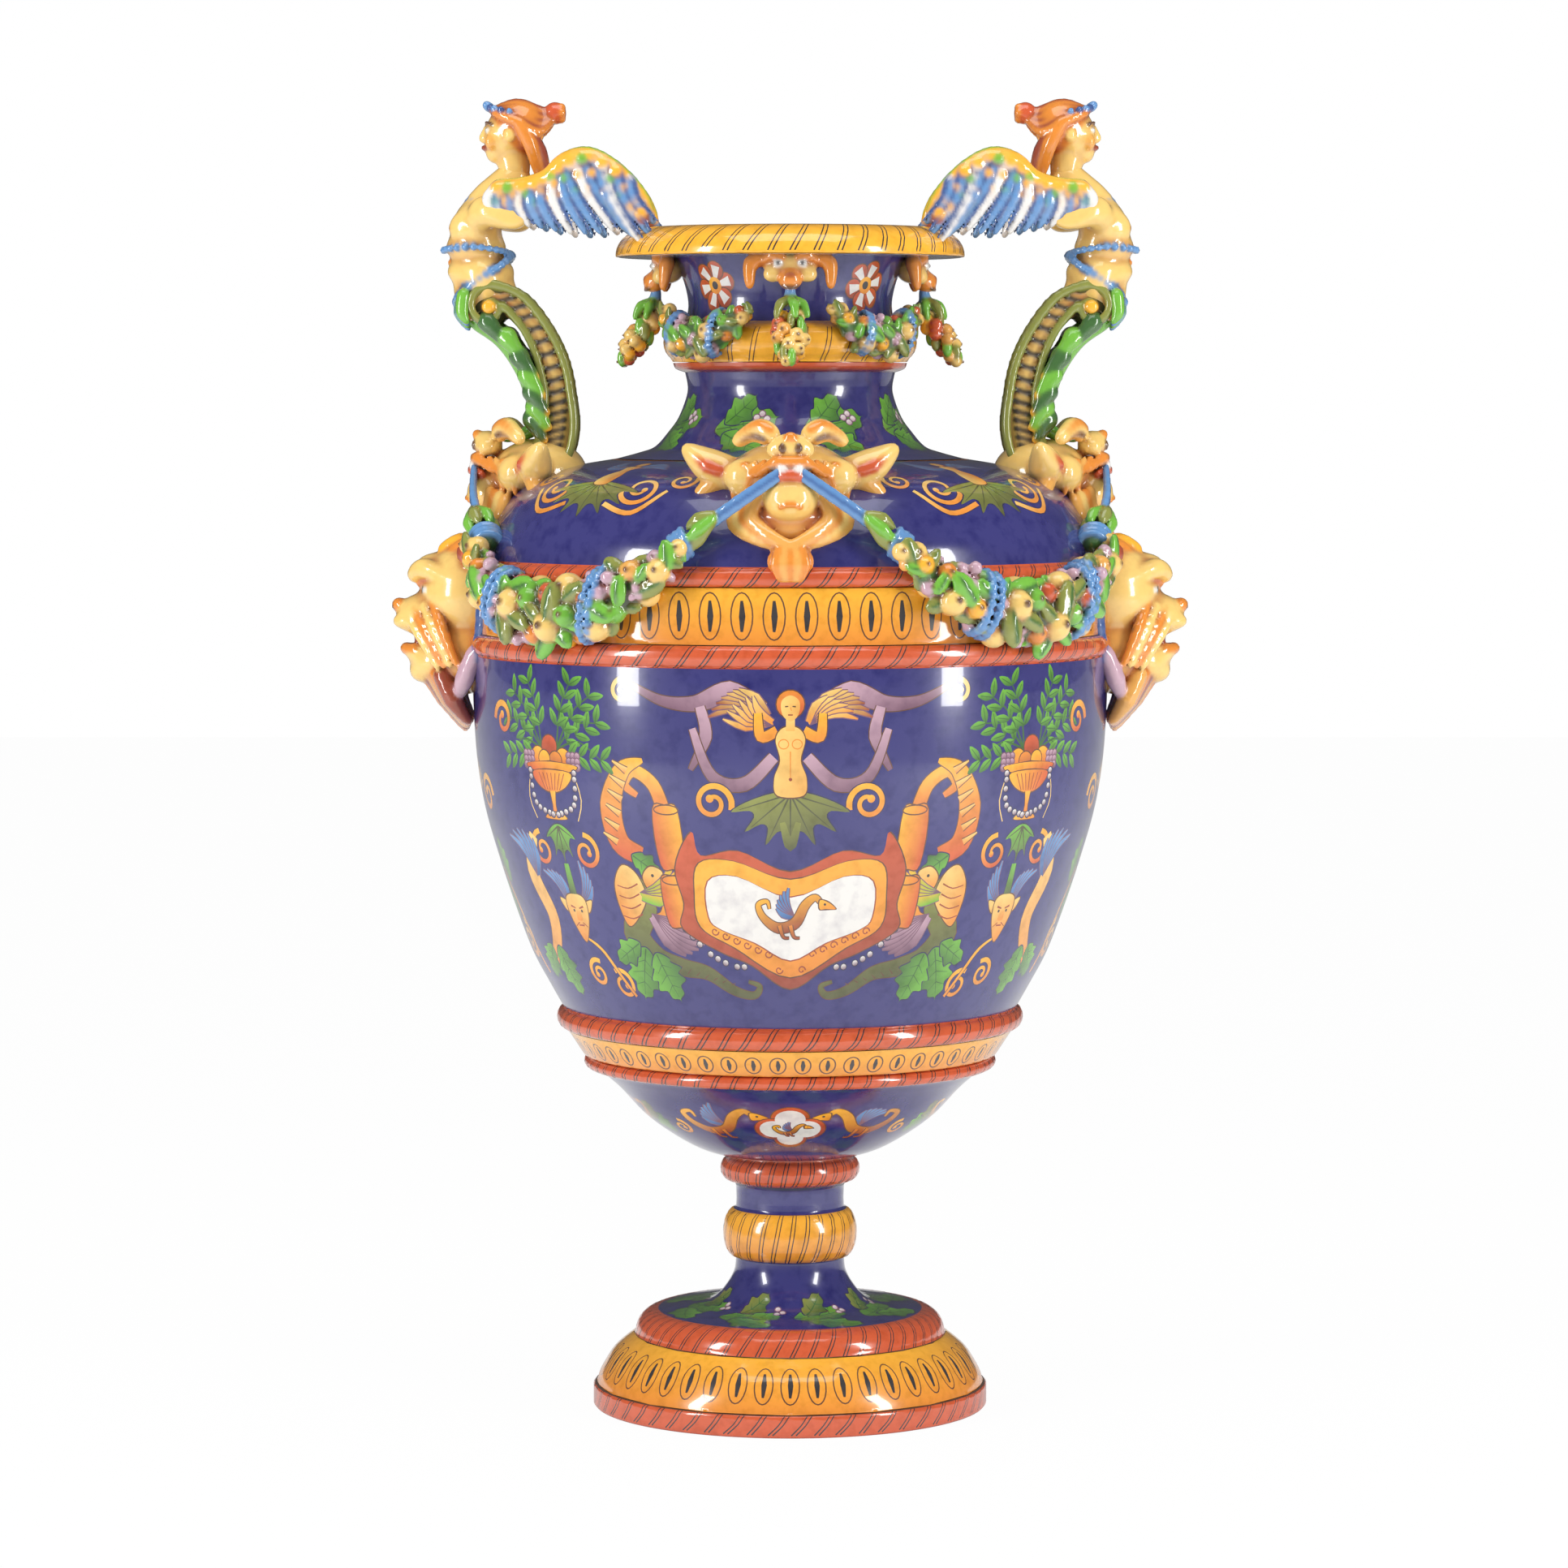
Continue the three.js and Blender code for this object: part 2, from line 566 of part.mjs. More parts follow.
const headSolid = union([
  ellipsoid(headCentre, [HEAD_RADIUS + 1, HEAD_RADIUS - 3, HEAD_RADIUS + 4]),
  taperedTube([[headCentre[0], 0, headCentre[2] - 8], [headCentre[0] - 5, 0, RIM_TOP + 28]],
    [[10, 11], [13, 13]], 10, 3, ALONG_Y),
  ellipsoid([headCentre[0] - 31, 0, headCentre[2] + 11], [9, 9, 9]),
  ellipsoid([headCentre[0] - 18, 0, headCentre[2] - 4], [14, 14, 20]),
]);
const head = largestPiece(headSolid.subtract(torsoCutter).subtract(outsideCutter));

// Wing outline seen from the front: inward from the siren's back, and height over the rim
const wingLine = [
  [0, 8], [-3, 26], [12, 32], [35, 31], [50, 34], [50, 47], [58, 55], [70, 57], [90, 52], [107, 40],
  [120, 24], [127, 4], [117, -17], [108, -8], [104, 2], [95, -5], [82, 1], [66, -6], [43, 0], [17, 3],
];
const wingRoot = HANDLE_REACH;
const wingReach = 127;

function wingSolid(side) {
  const shape = new THREE.Shape(wingLine.map(([inward, up]) => new THREE.Vector2(wingRoot - inward, RIM_TOP + up)));
  const geometry = plate(shape, WING_THICKNESS);
  const position = geometry.attributes.position;
  for (let i = 0; i < position.count; i += 1) {
    const share = (wingRoot - position.getX(i)) / wingReach;
    const offset = WING_ROOT_OFFSET + (WING_TIP_OFFSET - WING_ROOT_OFFSET) * share;
    position.setY(i, side * offset + position.getY(i));
  }
  return largestPiece(toSolid(geometry).subtract(torsoCutter).subtract(outsideCutter));
}

const handlePieces = [
  ['scroll', handleScroll, 'olive'],
  ['acanthus', acanthus, 'leaf'],
  ['siren', torso, 'flesh'],
  ['siren_head', head, 'hair'],
  ['front_wing', wingSolid(-1), 'wing'],
  ['back_wing', wingSolid(1), 'wing'],
];

for (const [name, solid, colour] of handlePieces) {
  addMesh(`right_${name}`, toGeometry(solid), colour);
  const left = name === 'front_wing' ? 'back_wing' : name === 'back_wing' ? 'front_wing' : name;
  addMesh(`left_${left}`, toGeometry(solid), colour, 0, Math.PI);
}

// Reliefs are modelled at the front, x across and y = -radius, and turned round the axis

const QUARTERS = [['front', 0], ['right', 1], ['back', 2], ['left', 3]];
const CORNERS = [['front_right', 0], ['back_right', 1], ['back_left', 2], ['front_left', 3]];
const quarterTurn = (count) => count * Math.PI / 2;

// Shoulder mask looking up from the slope, its plaited beard over the upper torus
const maskSeat = SHOULDER_BASE + SHOULDER_HEIGHT;
const maskReach = SHOULDER_BASE_RADIUS;

function shoulderMaskSolid(grow) {
  const lump = (x, inward, down, radii) => (
    ellipsoid([x, -(maskReach - inward), maskSeat - down], radii, grow));
  return union([
    lump(0, 51, 11, [46, 40, 30]),
    lump(0, 32, -9, [13, 16, 14]),
    lump(0, 22, 9, [24, 22, 17]),
    lump(0, 10, 26, [20, 21, 18]),
    lump(-25, 46, -14, [16, 13, 11]),
    lump(25, 46, -14, [16, 13, 11]),
    lump(-60, 46, 12, [16, 12, 19]),
    lump(60, 46, 12, [16, 12, 19]),
    lump(0, 12, 43, [42, 19, 18]),
    lump(0, -4, 67, [27, 12, 20]),
  ]);
}

const maskCutter = shoulderMaskSolid(CLEARANCE);
const shoulderMask = lute(shoulderMaskSolid(0));
const handleAtFront = scrollCutter.add(leafSolid(CLEARANCE)).rotate([0, 0, -90]);
const shoulderMaskUnderHandle = largestPiece(shoulderMask.subtract(handleAtFront));

for (const [name, count] of QUARTERS) {
  const solid = count % 2 ? shoulderMaskUnderHandle : shoulderMask;
  addMesh(`${name}_shoulder_mask`, toGeometry(solid), 'flesh', 0, quarterTurn(count));
}

// Garland between two masks, hanging lowest halfway round the corner

function garlandSolid(options, grow) {
  const { half, top, drop, reach, halfHeight, halfDepth, steps } = options;
  const points = [];
  const sizes = [];
  const stations = 8;
  for (let i = 0; i <= stations; i += 1) {
    const t = 2 * i / stations - 1;
    const angle = THREE.MathUtils.degToRad(-45 + half * t);
    const z = top - drop * (1 - t * t);
    const radius = wallRadius(z) + reach;
    points.push([-radius * Math.sin(angle), -radius * Math.cos(angle), z]);
    const swell = 0.42 + 0.58 * Math.cos(t * Math.PI / 2) ** 0.6;
    sizes.push([halfDepth * swell, halfHeight * swell]);
  }
  return taperedTube(points, sizes, 8, steps, ALONG_Z, grow);
}

const shoulderGarland = {
  half: 27,
  top: SHOULDER_BASE + 4,
  drop: GARLAND_DROP,
  reach: 8,
  halfHeight: GARLAND_HALF_HEIGHT,
  halfDepth: GARLAND_HALF_DEPTH,
  steps: 10,
};
const neckGarland = {
  half: 29,
  top: THROAT_BASE + 2,
  drop: 14,
  reach: 4,
  halfHeight: NECK_GARLAND_HALF_HEIGHT,
  halfDepth: NECK_GARLAND_HALF_DEPTH,
  steps: 8,
};

const garland = lute(garlandSolid(shoulderGarland, 0).subtract(maskCutter));
const garlandCutter = garlandSolid(shoulderGarland, CLEARANCE);
const smallGarland = lute(garlandSolid(neckGarland, 0));
const smallGarlandCutter = garlandSolid(neckGarland, CLEARANCE);

for (const [name, count] of CORNERS) {
  addMesh(`${name}_garland`, toGeometry(garland), 'fruit', 0, quarterTurn(count));
  addMesh(`${name}_neck_garland`, toGeometry(smallGarland), 'fruit', 0, quarterTurn(count));
}

// Ribbons from the mask's mouth to the garland's ends

function ribbonSolid(side) {
  const end = THREE.MathUtils.degToRad(side * (45 - shoulderGarland.half));
  const endRadius = wallRadius(shoulderGarland.top) + 8;
  return taperedTube([
    [side * 9, -(maskReach - 2), maskSeat - 8],
    [side * 40, -(maskReach - 6), maskSeat - 30],
    [endRadius * Math.sin(end), -endRadius * Math.cos(end), shoulderGarland.top + 5],
  ], [[RIBBON_RADIUS, RIBBON_RADIUS], [RIBBON_RADIUS, RIBBON_RADIUS], [7, 7]], 6, 4, ALONG_Z);
}

const cornerGarlands = garlandCutter.add(garlandCutter.rotate([0, 0, -90]));

for (const [name, count] of QUARTERS) {
  for (const side of [-1, 1]) {
    const cut = lute(ribbonSolid(side).subtract(maskCutter).subtract(cornerGarlands));
    addMesh(`${name}_ribbon_${side < 0 ? 'a' : 'b'}`, toGeometry(cut), 'ribbon', 0, quarterTurn(count));
  }
}

// Rim mask under the lip, and the drop of fruit that hangs from it over the neck band

function rimMaskSolid(grow) {
  const lump = (x, out, down, radii) => (
    ellipsoid([x, -(THROAT_TOP_RADIUS + out), RIM_BASE - down], radii, grow));
  return union([
    lump(0, 4, 11, [21, 13, 13]),
    lump(0, 14, 18, [10, 8, 8]),
    lump(-25, -2, 14, [10, 9, 13]),
    lump(25, -2, 14, [10, 9, 13]),
  ]);
}

const rimMask = lute(rimMaskSolid(0));
const rimMaskCutter = rimMaskSolid(CLEARANCE);

const fruitDrop = largestPiece(union([
  taperedTube([[0, -(THROAT_TOP_RADIUS + 3), RIM_BASE - 18], [0, -(NECK_BAND_RADIUS + 4), THROAT_BASE + 6]],
    [[5, 6], [8, 9]], 8, 4, ALONG_X),
  ellipsoid([0, -(NECK_BAND_RADIUS + 10), THROAT_BASE + 1], [15, 13, 12]),
  ellipsoid([0, -(NECK_BAND_RADIUS + 17), THROAT_BASE - 13], [21, 15, 15]),
  ellipsoid([0, -(NECK_BAND_RADIUS + 27), THROAT_BASE - 26], [13, 13, 13]),
]).subtract(outsideCutter).subtract(rimMaskCutter)
  .subtract(smallGarlandCutter).subtract(smallGarlandCutter.rotate([0, 0, -90])));

for (const [name, count] of QUARTERS) {
  addMesh(`${name}_rim_mask`, toGeometry(rimMask), 'flesh', 0, quarterTurn(count));
  addMesh(`${name}_fruit_drop`, toGeometry(fruitDrop), 'fruit', 0, quarterTurn(count));
}

// Lion mask on each side of the upper band

const lionTop = UPPER_BAND_BASE + 85;
const lionLump = (out, across, down, radii) => ellipsoid([BELLY_RADIUS + out, across, lionTop - down], radii);
const lionMask = largestPiece(union([
  lionLump(8, 0, 62, [34, 50, 56]),
  lionLump(26, 0, 40, [24, 34, 22]),
  lionLump(SIDE_MASK_DEPTH - 17, 0, 52, [13, 13, 14]),
  lionLump(SIDE_MASK_DEPTH - 20, 0, 66, [20, 26, 11]),
  lionLump(SIDE_MASK_DEPTH - 28, 0, 92, [20, 20, 14]),
  lionLump(18, 0, 112, [22, 26, 26]),
  lionLump(5, 0, 132, [12, 18, 22]),
]).subtract(outsideCutter).subtract(garlandCutter.rotate([0, 0, 90]))
  .subtract(garlandCutter).subtract(maskCutter.rotate([0, 0, 90])));

addMesh('right_lion_mask', toGeometry(lionMask), 'flesh');
addMesh('left_lion_mask', toGeometry(lionMask), 'flesh', 0, Math.PI);

export default group;
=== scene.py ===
# %% [markdown]
# # A maiolica vase, one metre tall
# The vase was turned on a wheel in sections, and its masks, garlands and sirens were pressed in
# moulds and luted on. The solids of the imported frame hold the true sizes. Here each of them gets
# its fired surface: sculpted relief, painted ornament and a glossy tin glaze.

# %% Load the frame and keep its box
import math
import bpy
import numpy as np
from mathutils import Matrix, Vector
from mathutils.geometry import delaunay_2d_cdt


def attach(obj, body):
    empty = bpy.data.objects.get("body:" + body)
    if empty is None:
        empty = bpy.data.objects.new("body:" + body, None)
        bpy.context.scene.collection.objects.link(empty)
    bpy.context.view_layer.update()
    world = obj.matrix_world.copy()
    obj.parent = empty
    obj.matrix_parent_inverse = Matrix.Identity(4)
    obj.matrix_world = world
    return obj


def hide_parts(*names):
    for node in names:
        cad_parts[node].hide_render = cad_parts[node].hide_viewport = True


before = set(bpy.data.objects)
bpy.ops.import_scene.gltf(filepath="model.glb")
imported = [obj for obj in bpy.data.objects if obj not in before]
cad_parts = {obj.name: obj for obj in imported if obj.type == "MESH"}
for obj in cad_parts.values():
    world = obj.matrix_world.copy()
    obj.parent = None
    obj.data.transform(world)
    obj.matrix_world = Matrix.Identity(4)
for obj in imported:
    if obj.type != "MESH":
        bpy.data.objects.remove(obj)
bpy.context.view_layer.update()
MM = 0.001
print("nodes in the frame:", len(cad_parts))

# %% [markdown]
# ## Shader maths
# Glazes are mixed with formulas. A small class wraps a socket so that a formula can be written
# as plain arithmetic, and one method adds any other node.

# %% A socket that can be added and multiplied
class Flow:
    def __init__(self, tree, socket):
        self.tree = tree
        self.socket = socket

    def _maths(self, operation, first, second):
        node = self.tree.nodes.new("ShaderNodeMath")
        node.operation = operation
        for socket, value in zip(node.inputs, (first, second)):
            if isinstance(value, Flow):
                self.tree.links.new(value.socket, socket)
            else:
                socket.default_value = value
        return Flow(self.tree, node.outputs[0])

    def __add__(self, other):
        return self._maths("ADD", self, other)

    def __radd__(self, other):
        return self._maths("ADD", other, self)

    def __sub__(self, other):
        return self._maths("SUBTRACT", self, other)

    def __rsub__(self, other):
        return self._maths("SUBTRACT", other, self)

    def __mul__(self, other):
        return self._maths("MULTIPLY", self, other)

    def __rmul__(self, other):
        return self._maths("MULTIPLY", other, self)


class Recipe:
    """One glaze: its node tree, and a method that adds a node."""

    def __init__(self, name):
        self.material = bpy.data.materials.new(name)
        self.material.use_nodes = True
        self.tree = self.material.node_tree
        self.shader = self.tree.nodes["Principled BSDF"]

    def node(self, kind, settings=None, output=0, **values):
        made = self.tree.nodes.new(kind)
        for name, value in (settings or {}).items():
            setattr(made, name, value)
        for name, value in values.items():
            self.feed(made.inputs[name.replace("_", " ")], value)
        return Flow(self.tree, made.outputs[output])

    def feed(self, socket, value):
        if isinstance(value, Flow):
            self.tree.links.new(value.socket, socket)
        else:
            socket.default_value = value

    def noise(self, scale, detail=3.0):
        place = self.node("ShaderNodeTexCoord", output="Object")
        return self.node("ShaderNodeTexNoise", Vector=place, Scale=scale, Detail=detail)

    def mix(self, factor, first, second, blend="MIX"):
        made = self.tree.nodes.new("ShaderNodeMix")
        made.data_type = "RGBA"
        made.blend_type = blend
        self.feed(made.inputs[0], factor)
        self.feed(made.inputs[6], first)
        self.feed(made.inputs[7], second)
        return Flow(self.tree, made.outputs[2])


# %% [markdown]
# ## The glazes
# Tin glaze is a thin glass over brushed colour. The colour comes from the point colours that the
# painter leaves on each mesh, thinned and thickened by two noises like a loaded brush. The glass
# is a coat with a faint ripple, and the same numbers serve every painted piece.

# %% Painted glaze
def painted_glaze(name, brush=140.0, strength=0.35, ripple=0.12, roughness=0.16):
    recipe = Recipe(name)
    paint = recipe.node("ShaderNodeAttribute", {"attribute_name": "paint"}, output="Color")
    wash = recipe.noise(brush, 5.0)
    cloud = recipe.noise(brush / 6, 2.0)
    dark = recipe.mix(1.0, paint, (0.62, 0.60, 0.66, 1), "MULTIPLY")
    pale = recipe.mix(0.04, paint, (1.0, 0.97, 0.9, 1))
    body = recipe.mix((wash - 0.46) * (strength * 4), pale, dark)
    red = recipe.node("ShaderNodeSeparateColor", output="Red", Color=paint)
    body = recipe.mix((cloud - 0.5) * (1 - red * 2) * (strength * 2), body, dark)
    recipe.feed(recipe.shader.inputs["Base Color"], body)
    recipe.feed(recipe.shader.inputs["Roughness"], wash * 0.1 + roughness)
    recipe.shader.inputs["Coat Weight"].default_value = 0.8
    recipe.shader.inputs["Coat Roughness"].default_value = 0.04
    bump = recipe.node("ShaderNodeBump", Strength=ripple, Distance=0.0012,
                       Height=recipe.noise(38.0, 2.0))
    recipe.feed(recipe.shader.inputs["Normal"], bump)
    return recipe.material


GLAZE = painted_glaze("painted_tin_glaze")
GROUND = painted_glaze("brushed_cobalt_and_ornament", brush=95.0, strength=0.5)
RELIEF = painted_glaze("relief_glaze", brush=160.0, strength=0.16, ripple=0.2)


def iron_finish():
    recipe = Recipe("dull_iron")
    grain = recipe.noise(420.0, 6.0)
    recipe.feed(recipe.shader.inputs["Base Color"],
                recipe.mix(grain, (0.10, 0.09, 0.08, 1), (0.30, 0.27, 0.24, 1)))
    recipe.feed(recipe.shader.inputs["Roughness"], grain * 0.3 + 0.4)
    recipe.shader.inputs["Metallic"].default_value = 0.9
    return recipe.material


IRON = iron_finish()


def clay_finish():
    recipe = Recipe("bare_clay_inside")
    grain = recipe.noise(160.0, 6.0)
    recipe.feed(recipe.shader.inputs["Base Color"],
                recipe.mix(grain, (0.72, 0.66, 0.55, 1), (0.86, 0.82, 0.74, 1)))
    recipe.feed(recipe.shader.inputs["Roughness"], grain * 0.2 + 0.35)
    return recipe.material


CLAY = clay_finish()

# %% [markdown]
# ## Colours of the palette
# The painter had few oxides: cobalt, antimony yellow, iron orange, copper green, manganese mauve
# and the white of the tin glaze itself. They are written here once, in linear light.

# %% Palette
def pigment(red, green, blue):
    def linear(value):
        value /= 255
        return value / 12.92 if value <= 0.04045 else ((value + 0.055) / 1.055) ** 2.4
    return np.array([linear(red), linear(green), linear(blue)])


COBALT = pigment(11, 9, 108)
COBALT_DEEP = pigment(8, 7, 66)
YELLOW = pigment(250, 178, 16)
AMBER = pigment(228, 134, 14)
ORANGE = pigment(206, 76, 8)
RUSSET = pigment(150, 52, 8)
CREAM = pigment(242, 200, 108)
FLESH = pigment(232, 166, 70)
WHITE = pigment(232, 229, 224)
GREEN = pigment(106, 180, 40)
GREEN_DEEP = pigment(40, 96, 24)
OLIVE = pigment(132, 138, 48)
OLIVE_DEEP = pigment(66, 70, 22)
BLUE = pigment(88, 142, 198)
BLUE_DEEP = pigment(36, 76, 140)
MAUVE = pigment(196, 158, 174)
MAUVE_DEEP = pigment(116, 74, 98)
LINE = pigment(28, 22, 30)
BROWN = pigment(92, 50, 18)

# %% [markdown]
# ## Vector painting
# A brushstroke is a closed outline with a light and a dark pigment. All the strokes of a section
# are laid flat over its wall and cut together into one sheet of triangles, each of which takes
# the pigment of the topmost stroke. The sheet is then wrapped on the wall, so the painting has
# crisp edges without an image. A texture of small pixels would have been simpler, but blurred.

# %% Brushstrokes
def smooth(points, closed=False, parts=6):
    points = np.array(points, float)
    count = len(points)
    out = []
    spans = count if closed else count - 1
    for i in range(spans):
        if closed:
            p0, p1, p2, p3 = (points[(i + k) % count] for k in (-1, 0, 1, 2))
        else:
            p0, p1 = points[max(i - 1, 0)], points[i]
            p2, p3 = points[i + 1], points[min(i + 2, count - 1)]
        for t in np.arange(parts) / parts:
            out.append(0.5 * (2 * p1 + (p2 - p0) * t + (2 * p0 - 5 * p1 + 4 * p2 - p3) * t * t
                              + (3 * p1 - p0 - 3 * p2 + p3) * t ** 3))
    if not closed:
        out.append(points[-1])
    return np.array(out)


class Painting:
    """Strokes in painting order, on a flat sheet measured in millimetres."""

    def __init__(self):
        self.outlines = []
        self.pigments = []

    def fill(self, outline, light, dark=None, lean=(0.3, -1.0)):
        self.outlines.append(np.array(outline, float))
        self.pigments.append((light, light if dark is None else dark, lean))

    def blob(self, points, light, dark=None, line=None, lean=(0.3, -1.0), parts=5):
        shape = smooth(points, closed=True, parts=parts)
        if line is not None:
            middle = shape.mean(axis=0)
            away = shape - middle
            size = np.linalg.norm(away, axis=1, keepdims=True)
            self.fill(shape + away / np.maximum(size, 1e-6) * 1.1, line)
        self.fill(shape, light, dark, lean)

    def stroke(self, points, widths, light, dark=None, line=None, parts=6, lean=(0.3, -1.0)):
        path = smooth(points, parts=parts)
        spread = np.interp(np.linspace(0, 1, len(path)), np.linspace(0, 1, len(widths)), widths)
        ahead = np.gradient(path, axis=0)
        ahead /= np.maximum(np.linalg.norm(ahead, axis=1, keepdims=True), 1e-9)
        side = np.stack([-ahead[:, 1], ahead[:, 0]], axis=1)
        for extra, tone in ((1.6, line), (0.0, None)):
            if extra and line is None:
                continue
            half = ((spread + extra) / 2)[:, None]
            outline = np.vstack([path + side * half, (path - side * half)[::-1]])
            if extra:
                self.fill(outline, tone)
            else:
                self.fill(outline, light, dark, lean)

    def disc(self, u, v, radius, light, dark=None, line=None, parts=12):
        turns = np.arange(parts) * 2 * math.pi / parts
        ring = np.stack([np.cos(turns), np.sin(turns)], axis=1)
        if line is not None:
            self.fill(ring * (radius + 0.9) + (u, v), line)
        self.fill(ring * radius + (u, v), light, dark)

    def ring(self, u, v, wide, tall, tone, thickness=1.1, parts=20):
        turns = np.arange(parts + 1) * 2 * math.pi / parts
        path = np.stack([u + wide * np.cos(turns), v + tall * np.sin(turns)], axis=1)
        self.stroke(path, [thickness, thickness], tone, parts=1)

    def mirrored(self, start):
        """Repeat the strokes from number start on the other side of the middle line."""
        for outline, (light, dark, lean) in zip(self.outlines[start:], self.pigments[start:]):
            flipped = (outline * (-1, 1))[::-1]
            self.outlines.append(flipped)
            self.pigments.append((light, dark, (-lean[0], lean[1])))


# %% [markdown]
# ## Wrapping a sheet on a turned wall
# Along the wall the sheet's height is the length of the profile, and across it the angle times
# a reference radius. A light grid of points keeps the wrapped sheet round.

# %% Turned walls
def profile_lengths(profile):
    steps = np.hypot(*np.diff(np.array(profile, float), axis=0).T)
    return np.concatenate([[0], np.cumsum(steps)])


class Wall:
    """A turned wall: profile points (radius, height) in millimetres, from the bottom up."""

    def __init__(self, profile, reference, spacing=7.0):
        self.profile = np.array(profile, float)
        self.lengths = profile_lengths(self.profile)
        self.reference = reference
        self.spacing = spacing

    def height_to_length(self, z):
        return float(np.interp(z, self.profile[:, 1], self.lengths))

    def wrap(self, u, v):
        radius = np.interp(v, self.lengths, self.profile[:, 0])
        z = np.interp(v, self.lengths, self.profile[:, 1])
        angle = u / self.reference
        return np.stack([radius * np.sin(angle), -radius * np.cos(angle), z], axis=1)

    def normals(self, u, v):
        step = 0.6
        r0 = np.interp(v - step, self.lengths, self.profile[:, 0])
        r1 = np.interp(v + step, self.lengths, self.profile[:, 0])
        z0 = np.interp(v - step, self.lengths, self.profile[:, 1])
        z1 = np.interp(v + step, self.lengths, self.profile[:, 1])
        out, up = z1 - z0, -(r1 - r0)
        size = np.maximum(np.hypot(out, up), 1e-9)
        angle = u / self.reference
        return np.stack([out / size * np.sin(angle), -out / size * np.cos(angle), up / size], axis=1)


def tone_at(points, outline, pigments):
    light, dark, lean = pigments
    lean = np.array(lean) / np.hypot(*lean)
    along = outline @ lean
    low, high = along.min(), along.max()
    share = np.clip((points @ lean - low) / max(high - low, 1e-6), 0, 1)[:, None]
    return light * (1 - share) + dark * share


def winds_round(outline, places):
    """Which places the closed outline goes round, whichever way and however often."""
    turns = np.zeros(len(places))
    for start, end in zip(outline, np.roll(outline, -1, axis=0)):
        rising = (start[1] <= places[:, 1]) & (end[1] > places[:, 1])
        falling = (start[1] > places[:, 1]) & (end[1] <= places[:, 1])
        side = (end[0] - start[0]) * (places[:, 1] - start[1]) - (places[:,
                0] - start[0]) * (end[1] - start[1])
        turns += (rising & (side > 0)).astype(int) - (falling & (side < 0)).astype(int)
    return turns != 0


def wrapped_sheet(name, wall, painting, ground, sector, repeats, material=None, lead=0.0):
    """Cut the painting of one sector into triangles, wrap it and repeat it round the axis."""
    low, high = -sector / 2 * wall.reference, sector / 2 * wall.reference
    top = wall.lengths[-1]
    across = max(int(round((high - low) / wall.spacing)), 4)
    us = np.linspace(low, high, across + 1)
    vs = np.unique(np.concatenate([wall.lengths, np.linspace(0, top,
            max(int(top / wall.spacing), 1) + 1)]))
    grid = np.array([(u, v) for v in vs for u in us])
    kept, points, edges, count = [], [grid], [], len(grid)
    for outline, pigments in zip(painting.outlines, painting.pigments):
        clipped = np.stack([np.clip(outline[:, 0], low, high), np.clip(outline[:, 1], 0, top)], axis=1)
        if np.ptp(clipped[:, 0]) < 0.05 or np.ptp(clipped[:, 1]) < 0.05:
            continue
        points.append(clipped)
        numbers = np.arange(count, count + len(clipped))
        edges += list(zip(numbers.tolist(), np.roll(numbers, -1).tolist()))
        count += len(clipped)
        kept.append((outline, pigments))
    flat = [Vector(p) for p in np.vstack(points)]
    verts, _, cut, _, _, _ = delaunay_2d_cdt(flat, edges, [], 0, 1e-3, False)
    verts = np.array([tuple(v) for v in verts])
    corners = np.array([face[:3] for face in cut])
    a, b, c = verts[corners[:, 0]], verts[corners[:, 1]], verts[corners[:, 2]]
    area = (b[:, 0] - a[:, 0]) * (c[:, 1] - a[:, 1]) - (b[:, 1] - a[:, 1]) * (c[:, 0] - a[:, 0])
    corners[area < 0] = corners[area < 0][:, ::-1]
    corners = corners[np.abs(area) > 1e-5]
    middles = verts[corners].mean(axis=1)
    tones = np.full(len(corners), -1)
    for number in range(len(kept) - 1, -1, -1):
        outline = kept[number][0]
        near = np.flatnonzero((tones < 0) & (middles >= outline.min(axis=0)).all(axis=1)
                              & (middles <= outline.max(axis=0)).all(axis=1))
        tones[near[winds_round(outline, middles[near])]] = number
    colours = ground(verts[corners.reshape(-1)])
    for number in np.unique(tones[tones >= 0]):
        chosen = np.repeat(tones == number, 3)
        colours[chosen] = tone_at(verts[corners.reshape(-1)][chosen], *kept[number])
    made_points, made_faces, made_colours, made_normals = [], [], [], []
    for turn in range(repeats):
        shift = (turn + lead) * 2 * math.pi / repeats * wall.reference
        made_points.append(wall.wrap(verts[:, 0] + shift, verts[:, 1]))
        made_normals.append(wall.normals(verts[:, 0] + shift, verts[:, 1]))
        made_faces.append(corners + turn * len(verts))
        made_colours.append(colours)
    piece = mesh_piece(name, np.vstack(made_points), np.vstack(made_faces), np.vstack(made_colours),
                       material or GLAZE, np.vstack(made_normals))
    print(name, "triangles", len(corners) * repeats)
    return piece


